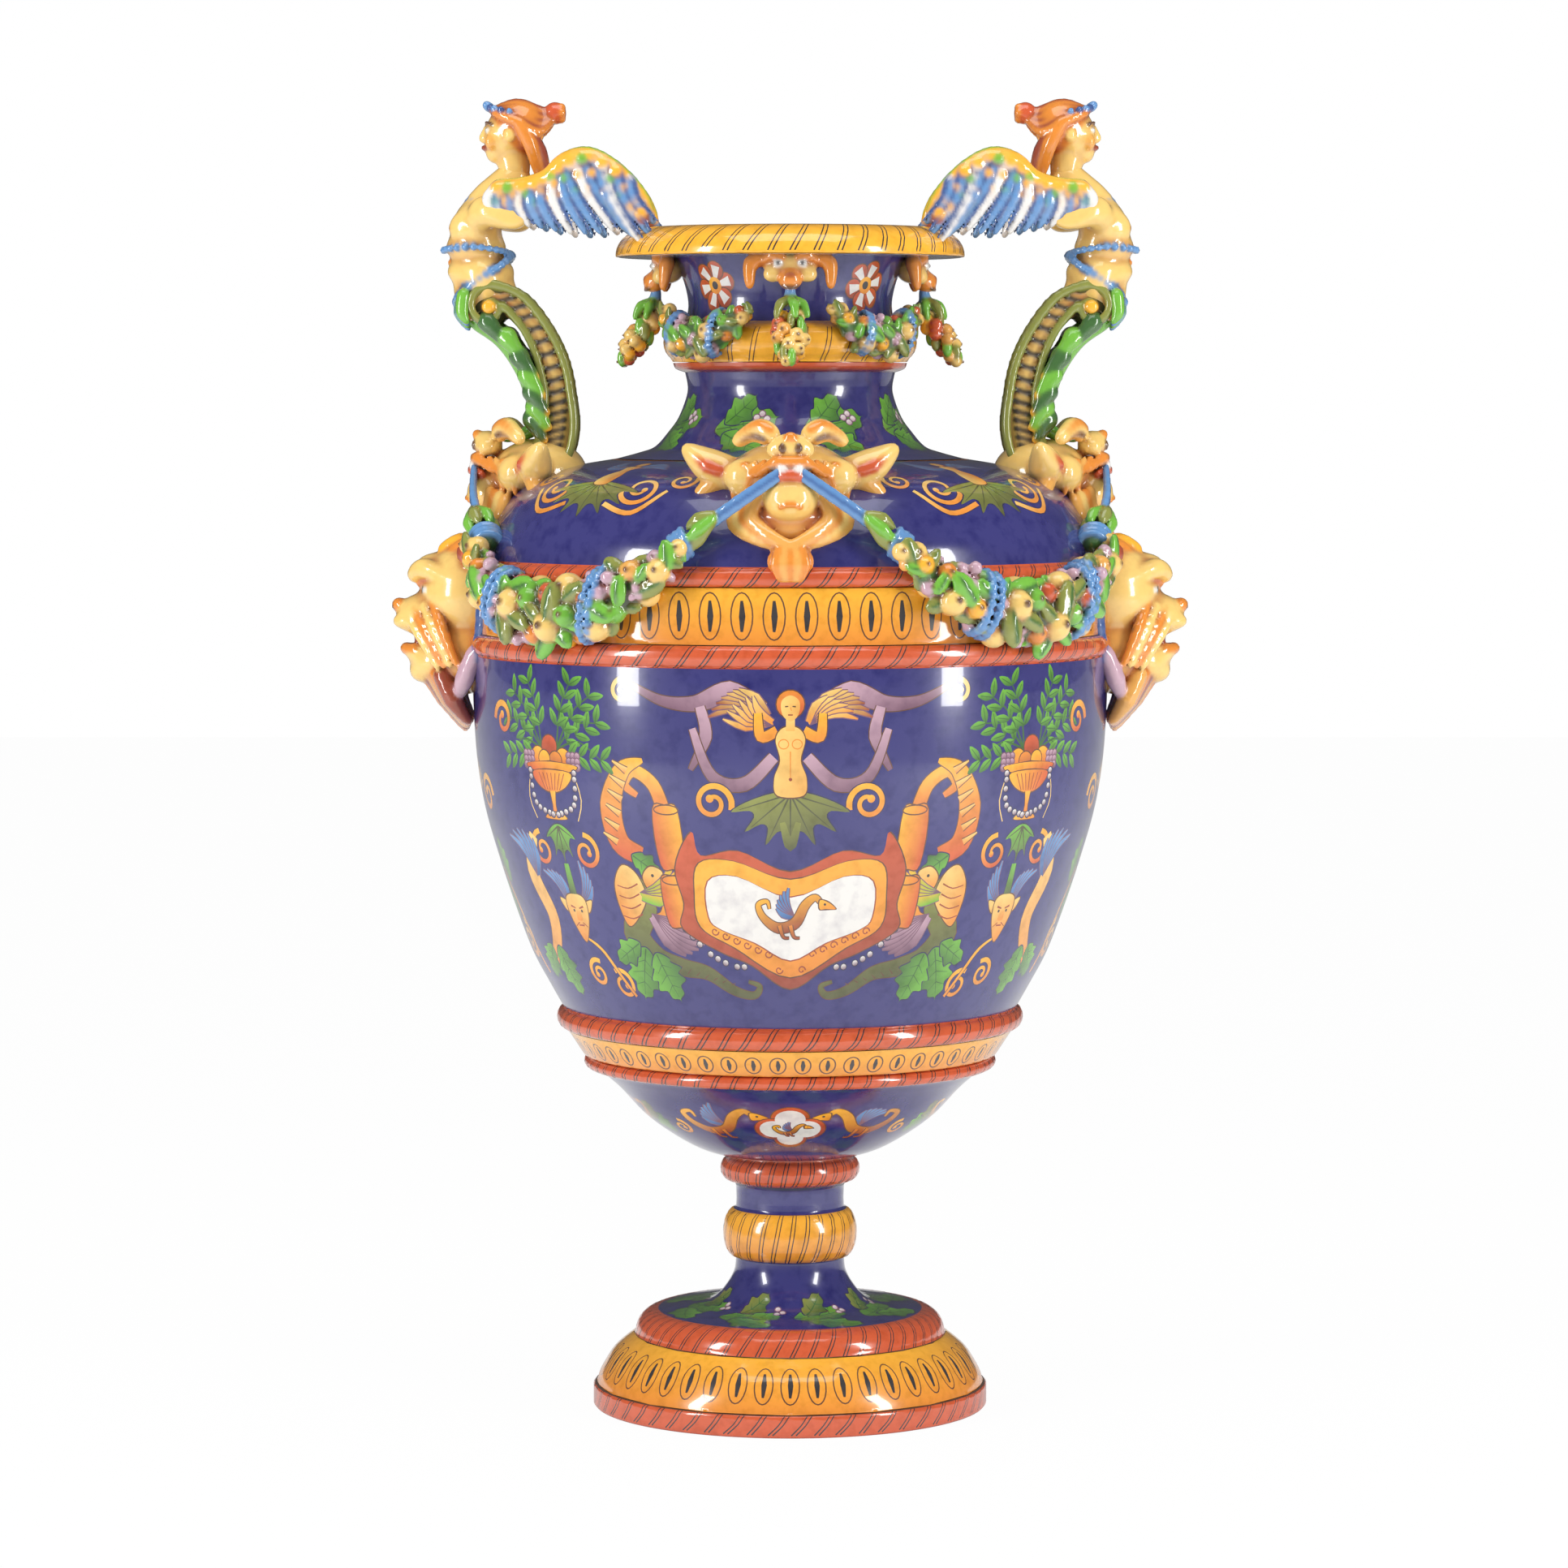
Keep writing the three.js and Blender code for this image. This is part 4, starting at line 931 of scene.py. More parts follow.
def beast(art, u, v, size, k=1, light=YELLOW, dark=RUSSET, wing=BLUE):
    """A small winged serpent with a curling tail, facing the side k."""
    s = size / 40
    body = [(u + k * 26 * s, v + 12 * s), (u + k * 20 * s, v + 18 * s), (u + k * 12 * s, v + 12 * s),
            (u + k * 4 * s, v - 2 * s),
            (u - k * 10 * s, v - 6 * s), (u - k * 22 * s, v + 2 * s), (u - k * 26 * s, v + 12 * s),
            (u - k * 19 * s, v + 15 * s),
            (u - k * 17 * s, v + 9 * s)]
    plume(art, u + k * 2 * s, v + 2 * s, 24 * s, 90 - k * -34, 6, 52, wing, BLUE_DEEP, 4 * s)
    art.stroke(body, [3 * s, 5 * s, 7 * s, 8.5 * s, 8 * s, 5.5 * s, 4 * s, 3 * s, 1.5 * s], light, dark,
               BROWN)
    art.blob([(u + k * 24 * s, v + 16 * s), (u + k * 31 * s, v + 14 * s), (u + k * 37 * s, v + 9 * s),
              (u + k * 29 * s, v + 9 * s),
              (u + k * 24 * s, v + 9 * s)], light, AMBER, BROWN)
    art.disc(u + k * 28 * s, v + 12.6 * s, 1.0 * s, LINE)
    for du in (0, 9):
        art.stroke([(u - k * du * s, v - 4 * s), (u + k * (3 - du) * s, v - 13 * s),
                    (u + k * (8 - du) * s, v - 14 * s)],
                   [3.2 * s, 2 * s, 1.2], AMBER, RUSSET, BROWN)


def leaflet(art, foot, length, angle, light, dark):
    """A plain small leaf with one vein."""
    ahead = np.array([math.cos(math.radians(angle)), math.sin(math.radians(angle))]) * length
    side = np.array([-ahead[1], ahead[0]]) * 0.22
    foot = np.array(foot)
    art.blob([foot, foot + ahead * 0.45 + side, foot + ahead, foot + ahead * 0.45 - side], light, dark,
             parts=3)
    art.stroke([foot, foot + ahead * 0.8], [0.9, 0.5], dark, parts=1)


def fruit_dish(art, u, v, size):
    """A footed dish heaped with fruit and leafy sprays, its bowl's middle at (u, v)."""
    s = size / 50
    for k in (-1, 1):
        for reach, rise in ((46, 40), (40, 58), (22, 66), (50, 14)):
            art.stroke([(u + k * 8 * s, v + 20 * s), (u + k * reach * 0.6 * s,
                    v + (20 + rise * 0.45) * s),
                        (u + k * reach * s, v + rise * s)], [1.8, 1.0], GREEN_DEEP, parts=4)
            for share in (0.4, 0.6, 0.8, 1.0):
                at = (u + k * reach * share * s, v + (18 + (rise - 18) * share) * s)
                for tilt in (-50, 40):
                    angle = math.degrees(math.atan2(rise - 16, k * reach)) + tilt
                    leaflet(art, at, 14 * s, angle, GREEN, GREEN_DEEP)
    for du, dv, r, tone, deep in ((-14, 14, 7, YELLOW, ORANGE), (13, 14, 7.5, YELLOW, ORANGE),
                                  (0, 22, 8, ORANGE, RUSSET),
                                  (-6, 12, 6.5, AMBER, RUSSET), (6, 13, 6, YELLOW, AMBER)):
        art.disc(u + du * s, v + dv * s, r * s, tone, deep, BROWN, parts=16)
    for k in (-1, 1):
        for i in range(9):
            art.disc(u + k * (20 + (i % 3) * 4) * s, v + (16 - (i // 3) * 4) * s, 2.4 * s, MAUVE,
                     MAUVE_DEEP, MAUVE_DEEP, parts=8)
    art.blob([(u - 26 * s, v + 9 * s), (u - 22 * s, v + 5 * s), (u, v + 3 * s), (u + 22 * s, v + 5 * s),
              (u + 26 * s, v + 9 * s), (u, v + 11 * s)],
             YELLOW, ORANGE, BROWN)
    art.blob([(u - 19 * s, v + 4 * s), (u - 15 * s, v - 6 * s), (u, v - 11 * s),
              (u + 15 * s, v - 6 * s), (u + 19 * s, v + 4 * s)],
             YELLOW, ORANGE, BROWN, lean=(1, -0.5))
    for i in range(-3, 4):
        art.stroke([(u + i * 4.6 * s, v + 3 * s), (u + i * 2.6 * s, v - 9 * s)], [0.9, 0.7], RUSSET,
                   parts=2)
    art.stroke([(u, v - 10 * s), (u, v - 30 * s)], [6 * s, 3 * s, 5 * s], YELLOW, ORANGE, BROWN)
    art.blob([(u - 11 * s, v - 30 * s), (u - 6 * s, v - 26 * s), (u + 6 * s, v - 26 * s),
              (u + 11 * s, v - 30 * s)], YELLOW, AMBER, BROWN)


def grotesque_head(art, u, v, size):
    s = size / 20
    for k in (-1, 1):
        plume(art, u + k * 7 * s, v + 4 * s, 34 * s, 90 - k * 28, 5, 34, BLUE, BLUE_DEEP, 4 * s)
        art.blob([(u + k * 9 * s, v + 6 * s), (u + k * 18 * s, v + 9 * s), (u + k * 14 * s, v + 1 * s),
                  (u + k * 9 * s, v)], CREAM, FLESH, BROWN)
    art.blob([(u - 10 * s, v + 10 * s), (u - 11 * s, v), (u - 7 * s, v - 12 * s), (u, v - 22 * s),
              (u + 7 * s, v - 12 * s),
              (u + 11 * s, v), (u + 10 * s, v + 10 * s), (u, v + 13 * s)], CREAM, AMBER, BROWN,
              lean=(0.6, -1))
    for k in (-1, 1):
        art.stroke([(u + k * 7 * s, v + 4 * s), (u + k * 2 * s, v + 2.4 * s)], [1.8, 1.0], RUSSET,
                   parts=2)
        art.disc(u + k * 4.4 * s, v + 0.6 * s, 1.1 * s, LINE)
        art.stroke([(u + k * 2 * s, v - 8 * s), (u + k * 7 * s, v - 11 * s)], [1.0, 0.6], RUSSET,
                   parts=2)
    art.blob([(u - 2 * s, v), (u - 3 * s, v - 6 * s), (u + 3 * s, v - 6 * s), (u + 2 * s, v)], FLESH,
             AMBER)
    art.stroke([(u - 3 * s, v - 10 * s), (u + 3 * s, v - 10 * s)], [1.4, 1.2], RUSSET, parts=2)

# %% [markdown]
# The great field is drawn for one half and mirrored at its middle line. Half a turn is one sector,
# so the side figures are drawn over the seam and meet there.

# %% Belly
belly_wall = Wall(BELLY, 241.0, 7.0)


def on_belly(z):
    return z - 308 + 4 * math.sin((z - 308) / 267 * math.pi / 2)


art = Painting()
# right half, mirrored later
start = 0
for points, widths in ((((96, 172), (104, 194), (120, 204), (128, 194), (118, 186)), [11, 10, 9, 7, 4]),
                       (((100, 108), (108, 92), (126, 90), (130, 104), (118, 108)), [10, 10, 9, 7, 4])):
    art.stroke(points, widths, YELLOW, ORANGE, BROWN)
# mauve drapery
art.stroke([(18, 252), (44, 262), (70, 254), (96, 256), (122, 268)], [6, 17, 11, 7, 3], MAUVE,
           MAUVE_DEEP, BROWN)
art.stroke([(66, 252), (62, 230), (74, 206)], [7, 9, 3], MAUVE, MAUVE_DEEP, BROWN)
art.stroke([(12, 216), (34, 196), (58, 202), (72, 236)], [8, 10, 8, 5], MAUVE, MAUVE_DEEP, BROWN)
curl(art, 128, 262, 9, 90, -1.2, [3.5, 2], CREAM)
plume(art, 16, 246, 44, 20, 7, 44, CREAM, RUSSET, 6)
# yellow scroll beside the skirt
curl(art, 58, 182, 15, 200, -1.4, [4.5, 3], YELLOW, AMBER)
# fin-like acanthus scroll
art.stroke([(120, 140), (138, 150), (142, 178), (130, 204), (112, 212)], [14, 18, 19, 13, 3], YELLOW,
           ORANGE, BROWN)
for i in range(6):
    share = i / 5
    at = (140 - 14 * share, 150 + 54 * share)
    art.stroke([at, (at[0] + 12, at[1] + 7)], [5, 1], CREAM, AMBER, BROWN, parts=3)
leaf(art, 128, 140, 26, 214, GREEN, GREEN_DEEP, 3, 0.4)
# long-tailed creature
art.stroke([(132, 124), (124, 100), (138, 78), (122, 58), (96, 52), (74, 48), (52, 34), (34, 30),
            (28, 38), (38, 42)],
           [10, 20, 26, 22, 14, 11, 8, 6, 4, 2], OLIVE, OLIVE_DEEP, BROWN)
for i in range(9):
    art.stroke([(118 - i * 8, 52 - i * 1.6), (114 - i * 8, 58 - i * 2.2)], [1.2, 0.5], BROWN, parts=2)
art.blob([(128, 126), (140, 132), (150, 118), (150, 100), (144, 84), (132, 92), (122, 108)], CREAM,
         AMBER, BROWN, lean=(1, -0.5))
for i in range(4):
    art.stroke([(128, 118 - i * 8), (138, 114 - i * 8), (148, 116 - i * 8)], [1.2, 0.8], RUSSET,
               parts=3)
art.blob([(122, 124), (114, 132), (104, 128), (108, 118), (118, 114)], CREAM, AMBER, BROWN)
art.disc(113, 125, 1.3, LINE)
plume(art, 120, 92, 62, 200, 8, 56, MAUVE, MAUVE_DEEP, 7)
plume(art, 126, 108, 44, 158, 5, 40, YELLOW, GREEN, 8)
leaf(art, 132, 66, 44, -70, GREEN, GREEN_DEEP, 4, 0.45)
leaf(art, 122, 62, 40, -110, GREEN, GREEN_DEEP, 4, 0.45)
leaf(art, 138, 70, 30, -30, GREEN, GREEN_DEEP, 3, 0.4)
# tendrils and beads along the foot of the field
curl(art, 168, 34, 13, 60, 1.4, [4, 2.4], YELLOW, AMBER)
curl(art, 196, 42, 12, 120, -1.4, [4, 2.4], YELLOW, AMBER)
art.stroke([(158, 24), (180, 60), (200, 72)], [3, 3, 1.5], YELLOW, AMBER, COBALT_DEEP)
beads(art, [(20, 62), (44, 54), (70, 64), (90, 84)], 2.4, WHITE, 11)
beads(art, [(22, 92), (30, 84), (48, 78)], 2.2, WHITE, 6)
# dish and head
fruit_dish(art, 200, 196, 52)
for k in (-1, 1):
    art.stroke([(200 + k * 24, 202), (200 + k * 30, 180), (200 + k * 24, 164)], [0.9, 0.9], CREAM,
               parts=3)
    beads(art, [(200 + k * 25, 200), (200 + k * 22, 176), (200 + k * 3, 168)], 2.2, WHITE, 9)
    curl(art, 200 + k * 26, 140, 14, 90, -k * 1.3, [4, 2.4], YELLOW, ORANGE)
acanthus(art, 200, 160, 34, 30, GREEN, OLIVE_DEEP, 5)
grotesque_head(art, 200, 92, 22)
art.stroke([(200, 130), (200, 106)], [5, 8], GREEN, OLIVE_DEEP, COBALT_DEEP)
# side figure under the lion mask
curl(art, 262, 236, 14, 0, 1.2, [5, 3], YELLOW, ORANGE)
art.stroke([(236, 150), (252, 120), (240, 84), (258, 52), (280, 44)], [10, 18, 16, 12, 5], CREAM, AMBER,
           BROWN)
plume(art, 244, 118, 46, 70, 6, 60, BLUE, BLUE_DEEP, 6)
leaf(art, 248, 60, 40, -100, GREEN, GREEN_DEEP, 4, 0.45)
leaf(art, 262, 60, 34, -50, GREEN, GREEN_DEEP, 4, 0.42)
curl(art, 316, 176, 16, 180, -1.4, [5, 3], YELLOW, AMBER)
curl(art, 322, 60, 16, 90, 1.5, [6, 3], CREAM, AMBER)
art.stroke([(300, 34), (318, 84), (338, 118)], [4, 5, 3], YELLOW, AMBER, COBALT_DEEP)
leaf(art, 330, 84, 40, 20, GREEN, GREEN_DEEP, 4, 0.45)
leaf(art, 318, 108, 34, 80, GREEN, GREEN_DEEP, 4, 0.42)
back_seam = 241.0 * math.pi / 2
winged_figure(art, back_seam, 134, 60)
plume(art, back_seam - 20, 196, 60, 60, 7, 50, MAUVE, MAUVE_DEEP, 6)
fruit_dish(art, back_seam, 46, 30)
art.mirrored(start)

# strapwork panel in the middle
for k in (-1, 1):
    for low, high in ((134, 176), (88, 122)):
        art.blob([(k * 84, low), (k * 86, high), (k * 96, high + 3), (k * 106, high), (k * 104, low),
                  (k * 94, low - 3)],
                 YELLOW, ORANGE, BROWN, lean=(k, -0.2), parts=4)
        art.ring(k * 95, high, 10, 3.6, BROWN, 1.0)
art.blob([(-76, 160), (-70, 142), (-40, 146), (0, 130), (40, 146), (70, 142), (76, 160), (92, 132),
          (88, 104), (92, 84),
          (60, 66), (34, 56), (0, 36), (-34, 56), (-60, 66), (-92, 84), (-88, 104), (-92, 132)],
         ORANGE, RUSSET, BROWN, lean=(0.2, -1), parts=5)
art.blob([(-72, 136), (-44, 138), (0, 124), (44, 138), (72, 136), (78, 112), (76, 86), (48, 70),
          (0, 46), (-48, 70), (-76, 86), (-78, 112)],
         YELLOW, AMBER, BROWN, parts=5)
for i in range(7):
    for k in (-1, 1):
        curl(art, k * (64 - i * 9), 64 + 3.5 * (7 - i) - 6 if i < 6 else 52, 3.4, 0, k * 0.9,
             [1.2, 0.8], RUSSET, line=None, inward=0.4)
art.blob([(-66, 122), (-42, 126), (0, 110), (42, 126), (66, 122), (68, 94), (58, 84), (30, 74), (0, 60),
          (-30, 74), (-58, 84), (-68, 94)],
         WHITE, WHITE, RUSSET, parts=4)
beast(art, 0, 92, 40, 1, YELLOW, RUSSET, BLUE)
winged_figure(art, 0, 188, 64)
art.stroke([(-6, 168), (0, 150), (6, 168)], [4, 8, 4], OLIVE, OLIVE_DEEP)
shell("belly", belly_wall, art, COBALT, math.pi, 2,
      [(241, 575), (230, 575), (228, 498), (211, 424), (185, 350), (162.5, 308), (173.5, 308)], GROUND)

# %% [markdown]
# Under the lower band, winged serpents face a white quatrefoil.

# %% Bowl
bowl_wall = Wall(BOWL, 110.0, 6.0)
art = Painting()
top = bowl_wall.lengths[-1]
for k in (-1, 1):
    beast(art, k * 52, 76, 42, -k, YELLOW, RUSSET, BLUE)
    curl(art, k * 92, 70, 9, 90, k * 1.3, [3.4, 2], YELLOW, AMBER)
    leaf(art, k * 112, 60, 30, 90 - k * 20, GREEN, GREEN_DEEP, 4, 0.42)
    leaf(art, k * 128, 74, 24, 90 + k * 30, OLIVE, OLIVE_DEEP, 3, 0.4)
    beast(art, k * 150, 80, 36, k, YELLOW, RUSSET, MAUVE)
for du, dv in ((0, 13), (13, 0), (0, -13), (-13, 0)):
    art.disc(du, 74 + dv, 13, ORANGE, RUSSET, BROWN, parts=22)
for du, dv in ((0, 12), (12, 0), (0, -12), (-12, 0)):
    art.disc(du, 74 + dv, 10.6, WHITE, parts=22)
art.disc(0, 74, 14, WHITE, parts=22)
beast(art, 0, 72, 18, 1, YELLOW, RUSSET, BLUE)
shell("bowl", bowl_wall, art, COBALT, math.pi, 2,
      [(147, 259), (136, 259), (101, 232), (53.7, 208), (7, 208), (7, 192), (46.3, 192)], GROUND)

# %% [markdown]
# The shoulder has four sectors, led by half a sector so that each figure sits between two masks.

# %% Shoulder
shoulder_wall = Wall(SHOULDER, 210.0, 6.0)
art = Painting()
for k in (-1, 1):
    curl(art, k * 46, 66, 17, 90 + k * 90, k * 1.45, [4.2, 2.6], CREAM, AMBER)
    curl(art, k * 78, 78, 12, 90 - k * 60, -k * 1.3, [3.6, 2.2], CREAM, AMBER)
    art.stroke([(k * 20, 50), (k * 48, 42), (k * 70, 64)], [4, 4.2, 3], CREAM, AMBER, COBALT_DEEP)
    plume(art, k * 6, 106, 40, 90 - k * 74, 6, 42, BLUE, BLUE_DEEP, 5)
acanthus(art, 0, 74, 92, 36, OLIVE, OLIVE_DEEP, 7)
art.blob([(-7, 72), (-9, 86), (-5, 98), (-8, 110), (8, 110), (5, 98), (9, 86), (7, 72)], CREAM, AMBER,
         BROWN, lean=(1, 0))
art.disc(0, 118, 6.4, YELLOW, ORANGE, BROWN, parts=14)
art.disc(0, 116.6, 4.2, CREAM, FLESH, parts=12)
reach = 210.0 * QUARTER / 2
band(art, -reach, reach, shoulder_wall.lengths[-1] - 5.2, shoulder_wall.lengths[-1] - 1.4, ORANGE,
     AMBER)
shell("shoulder", shoulder_wall, art, COBALT, QUARTER, 4,
      [(131, 723), (115, 723), (162.5, 699.5), (204.5, 681.5), (225, 648), (236, 648)], GROUND,
      lead=0.5)

# %% [markdown]
# Leaves run round the neck, the band and the rim are yellow with brown hatches, and the throat has
# a daisy between each pair of masks.

# %% Neck, neck band, throat and rim
neck_wall = Wall(NECK, 85.0, 5.0)
art = Painting()
for k in (-1, 1):
    u = k * 85.0 * QUARTER / 4
    leaf(art, u - 22, 48, 46, 14, GREEN, GREEN_DEEP, 4, 0.42)
    leaf(art, u - 14, 44, 32, -30, GREEN, GREEN_DEEP, 4, 0.44)
    leaf(art, u - 16, 54, 30, 46, GREEN, GREEN_DEEP, 3, 0.42)
    for du, dv in ((12, 62), (16, 58), (12, 55), (8, 59)):
        art.disc(u + du, dv, 2.3, WHITE, MAUVE, MAUVE_DEEP, parts=8)
shell("neck", neck_wall, art, COBALT, QUARTER, 4, [(79.5, 788), (68.5, 788), (66.5, 762), (90.6, 732),
        (115, 723), (131, 723)], GROUND)

band_wall = Wall(NECK_BAND, 96.0, 5.0)
art = Painting()
reach = 96.0 * QUARTER / 2
edge = band_wall.height_to_length(795.5)
band(art, -reach, reach, 0, edge, ORANGE, RUSSET)
hatch(art, -reach, reach, edge, band_wall.height_to_length(822), 19, 6, BROWN, 1.0)
shell("neck_band", band_wall, art, YELLOW, QUARTER, 4, [(79, 826), (68, 826), (68.5, 788), (79.5, 788)])

throat_wall = Wall(THROAT, 84.0, 5.0)
art = Painting()
for i in range(6):
    angle = math.radians(60 * i + 12)
    at = (12.5 * math.cos(angle), 27 + 12.5 * math.sin(angle))
    art.disc(at[0], at[1], 7.2, ORANGE, RUSSET, BROWN, parts=16)
for i in range(6):
    angle = math.radians(60 * i + 12)
    inner_end = (6.5 * math.cos(angle), 27 + 6.5 * math.sin(angle))
    outer_end = (16 * math.cos(angle), 27 + 16 * math.sin(angle))
    art.stroke([inner_end, outer_end], [4, 8], WHITE, parts=3)
art.disc(0, 27, 6.6, YELLOW, AMBER, parts=16)
art.disc(0, 27, 3.2, LINE, parts=12)
shell("throat", throat_wall, art, COBALT, QUARTER, 4, [(88, 874), (77, 874), (68, 826), (79, 826)],
      GROUND, lead=0.5)

rim_wall = Wall(RIM, 125.0, 6.0)
art = Painting()
reach = 125.0 * QUARTER / 2
edge = rim_wall.height_to_length(876.4)
band(art, -reach, reach, 0, edge - 2, WHITE, BLUE)
hatch(art, -reach, reach, edge, rim_wall.lengths[-1] - 1, 17, 13)
shell("rim", rim_wall, art, YELLOW, QUARTER, 4, [(105, 897), (88, 897), (77, 885.5), (77, 874),
        (88, 874)])

# %% [markdown]
# The tie rod, its nuts and washers keep their solids and get a dull iron.

# %% Iron inside
for node in ("tie_rod", "lower_nut", "upper_nut", "lower_washer", "upper_washer"):
    piece = bpy.data.objects[node]
    piece.data.materials.clear()
    piece.data.materials.append(IRON)

# %% [markdown]
# ## Sirens, scrolls and wings
# Each handle is an S scroll rising from the shoulder to a winged siren. She is modelled once and
# turned half round the axis for the other handle. Her face is small, plain and calm.

# %% Siren bodies
def siren_wax():
    wax = Wax((196, -42, 812), (266, 42, 946), 1.6)
    for z, near, far, half in ((905, 220, 252, 27), (895, 219, 256, 25), (882, 215, 260, 23),
                               (864, 209, 259, 21),
                               (850, 207, 254, 18), (838, 216, 253, 16)):
        wax.ball(((near + far) / 2, 0, z), ((far - near) / 2, half, 13), CREAM, melt=8)
    for side in (-1, 1):
        wax.ball((229, side * 27, 908), (12, 10, 12), CREAM, melt=6)
        wax.ball((247, side * 12, 897), (9.5, 9.5, 9.5), CREAM, melt=5)
        wax.ball((255.4, side * 12.5, 896.4), 2.0, RUSSET, melt=1.5)
        wax.vine([(227, side * 31, 908), (214, side * 35, 904), (204, side * 37, 903)], [8.5, 7.5, 6.5],
                 CREAM, melt=4)
        wax.ball((231, side * 13, 858), (14, 12, 14), CREAM, melt=7)
    wax.vine([(229, 0, 912), (219, 0, 924), (207, 0, 936)], [15, 11, 9.6], CREAM, melt=7)
    wax.ball((257.6, 0, 871), (1.6, 1.4, 2.2), AMBER, melt=1.2)
    for side in (-1, 1):
        for i in range(7):
            share = i / 6
            wax.ball((243 - 26 * share, side * (3 + 27 * math.sin(share * 1.5)),
                      916 - 4 * math.sin(share * 3)),
                     3.0 - share, BLUE, melt=1.0)
    belt = [(262, 0, 880), (256, 15, 881), (238, 25, 882), (221, 23, 880), (213, 11, 878),
            (211, 0, 877)]
    loops = belt + [(x, -y, z) for x, y, z in belt[1:-1]][::-1]
    for x, y, z in smooth(loops, closed=True, parts=3):
        wax.ball((x, y, z), 2.9, BLUE, melt=0.6)
    low = [(253, 0, 841), (250, 10, 846), (241, 19, 853), (229, 22.5, 861), (217, 20, 869),
           (211, 8, 875)]
    loops = low + [(x, -y, z) for x, y, z in low[1:]][::-1]
    for x, y, z in smooth(loops, parts=3):
        wax.ball((x, y, z), 3.2, BLUE, melt=0.6)
    for i in range(7):
        lean = (i - 3) / 3
        wax.vine([(246, lean * 20, 846), (250 - abs(lean) * 3, lean * 22, 833),
                  (243, lean * 23, 820 + 5 * abs(lean))],
                 [5, 4.4, 1.4], BLUE if i % 2 else GREEN, melt=1.6)
    return wax


def siren_head_wax():
    wax = Wax((164, -30, 926), (240, 30, 1002), 1.6)
    wax.ball((205, 0, 973), (20.5, 19.5, 21), AMBER, melt=4)
    wax.ball((214, 0, 966), (16.5, 15.5, 20), CREAM, melt=4)
    wax.ball((222, 0, 953), (7.5, 8, 7.5), CREAM, melt=5)
    wax.vine([(208, 0, 938), (209, 0, 952)], [10, 10], CREAM, melt=5)
    wax.vine([(228, 0, 973), (230, 0, 968), (232, 0, 963.6)], [1.6, 2.0, 2.4], CREAM, melt=2.6)
    wax.vine([(229.5, -4.4, 956.6), (231.2, 0, 957), (229.5, 4.4, 956.6)], [1.2, 1.8, 1.2], RUSSET,
             melt=1.2)
    for side in (-1, 1):
        wax.ball((228.2, side * 7, 970), (1.9, 3.0, 1.5), WHITE, melt=1.0)
        wax.ball((229.9, side * 7, 970), 1.15, LINE, melt=0.6)
        wax.vine([(229.4, side * 3.4, 974.6), (228.8, side * 8, 976), (225, side * 12, 974)],
                 [1.0, 1.1, 0.8], BROWN, melt=1.0)
        wax.ball((225.6, side * 10, 961), (4.4, 4.6, 5.6), FLESH, melt=3.5)
        wax.ball((211, side * 17.6, 966), (3.6, 2.6, 5), CREAM, melt=1.6)
    for side in (-1, 1):
        for i in range(8):
            lift = i / 7
            wax.vine([(225 - 3 * lift, side * (2 + 11 * lift), 985 - 3 * lift),
                      (207, side * (6 + 13.5 * lift), 990.5 - 14 * lift),
                      (190, side * (3 + 12 * lift), 986 - 18 * lift),
                      (180, side * (1 + 5 * lift), 982 - 6 * lift)],
                     [2.4, 3.2, 3.0, 2.2], AMBER if i % 2 else RUSSET, melt=1.2)
        wax.vine([(204, side * 18, 975), (196, side * 17, 960), (191, side * 12, 945),
                  (188, side * 6, 933)],
                 [4.4, 5, 4.4, 2.6], AMBER, melt=2)
        wax.vine([(199, side * 15, 972), (190, side * 12, 956), (186, side * 7, 941),
                  (184, side * 3, 931)],
                 [4.4, 5, 4.2, 2.4], RUSSET, melt=2)
    wax.ball((177.5, 0, 983), (8.5, 8.5, 8.5), ORANGE, melt=2)
    for i in range(6):
        angle = i * math.pi / 3
        wax.ball((172.5, 5 * math.cos(angle), 983 + 5 * math.sin(angle)), 3.2, AMBER, melt=1)
    for side in (-1, 1):
        for i in range(5):
            angle = side * i * 0.3
            wax.ball((202 + 25 * math.cos(angle), 21 * math.sin(angle), 987.4 - 0.8 * i), 3.6 - 0.3 * i,
                     BLUE if i % 2 == 0 else BLUE_DEEP, melt=0.8)
    wax.ball((229, 0, 989), (3.4, 3.4, 3.4), BLUE, melt=0.8)
    return wax


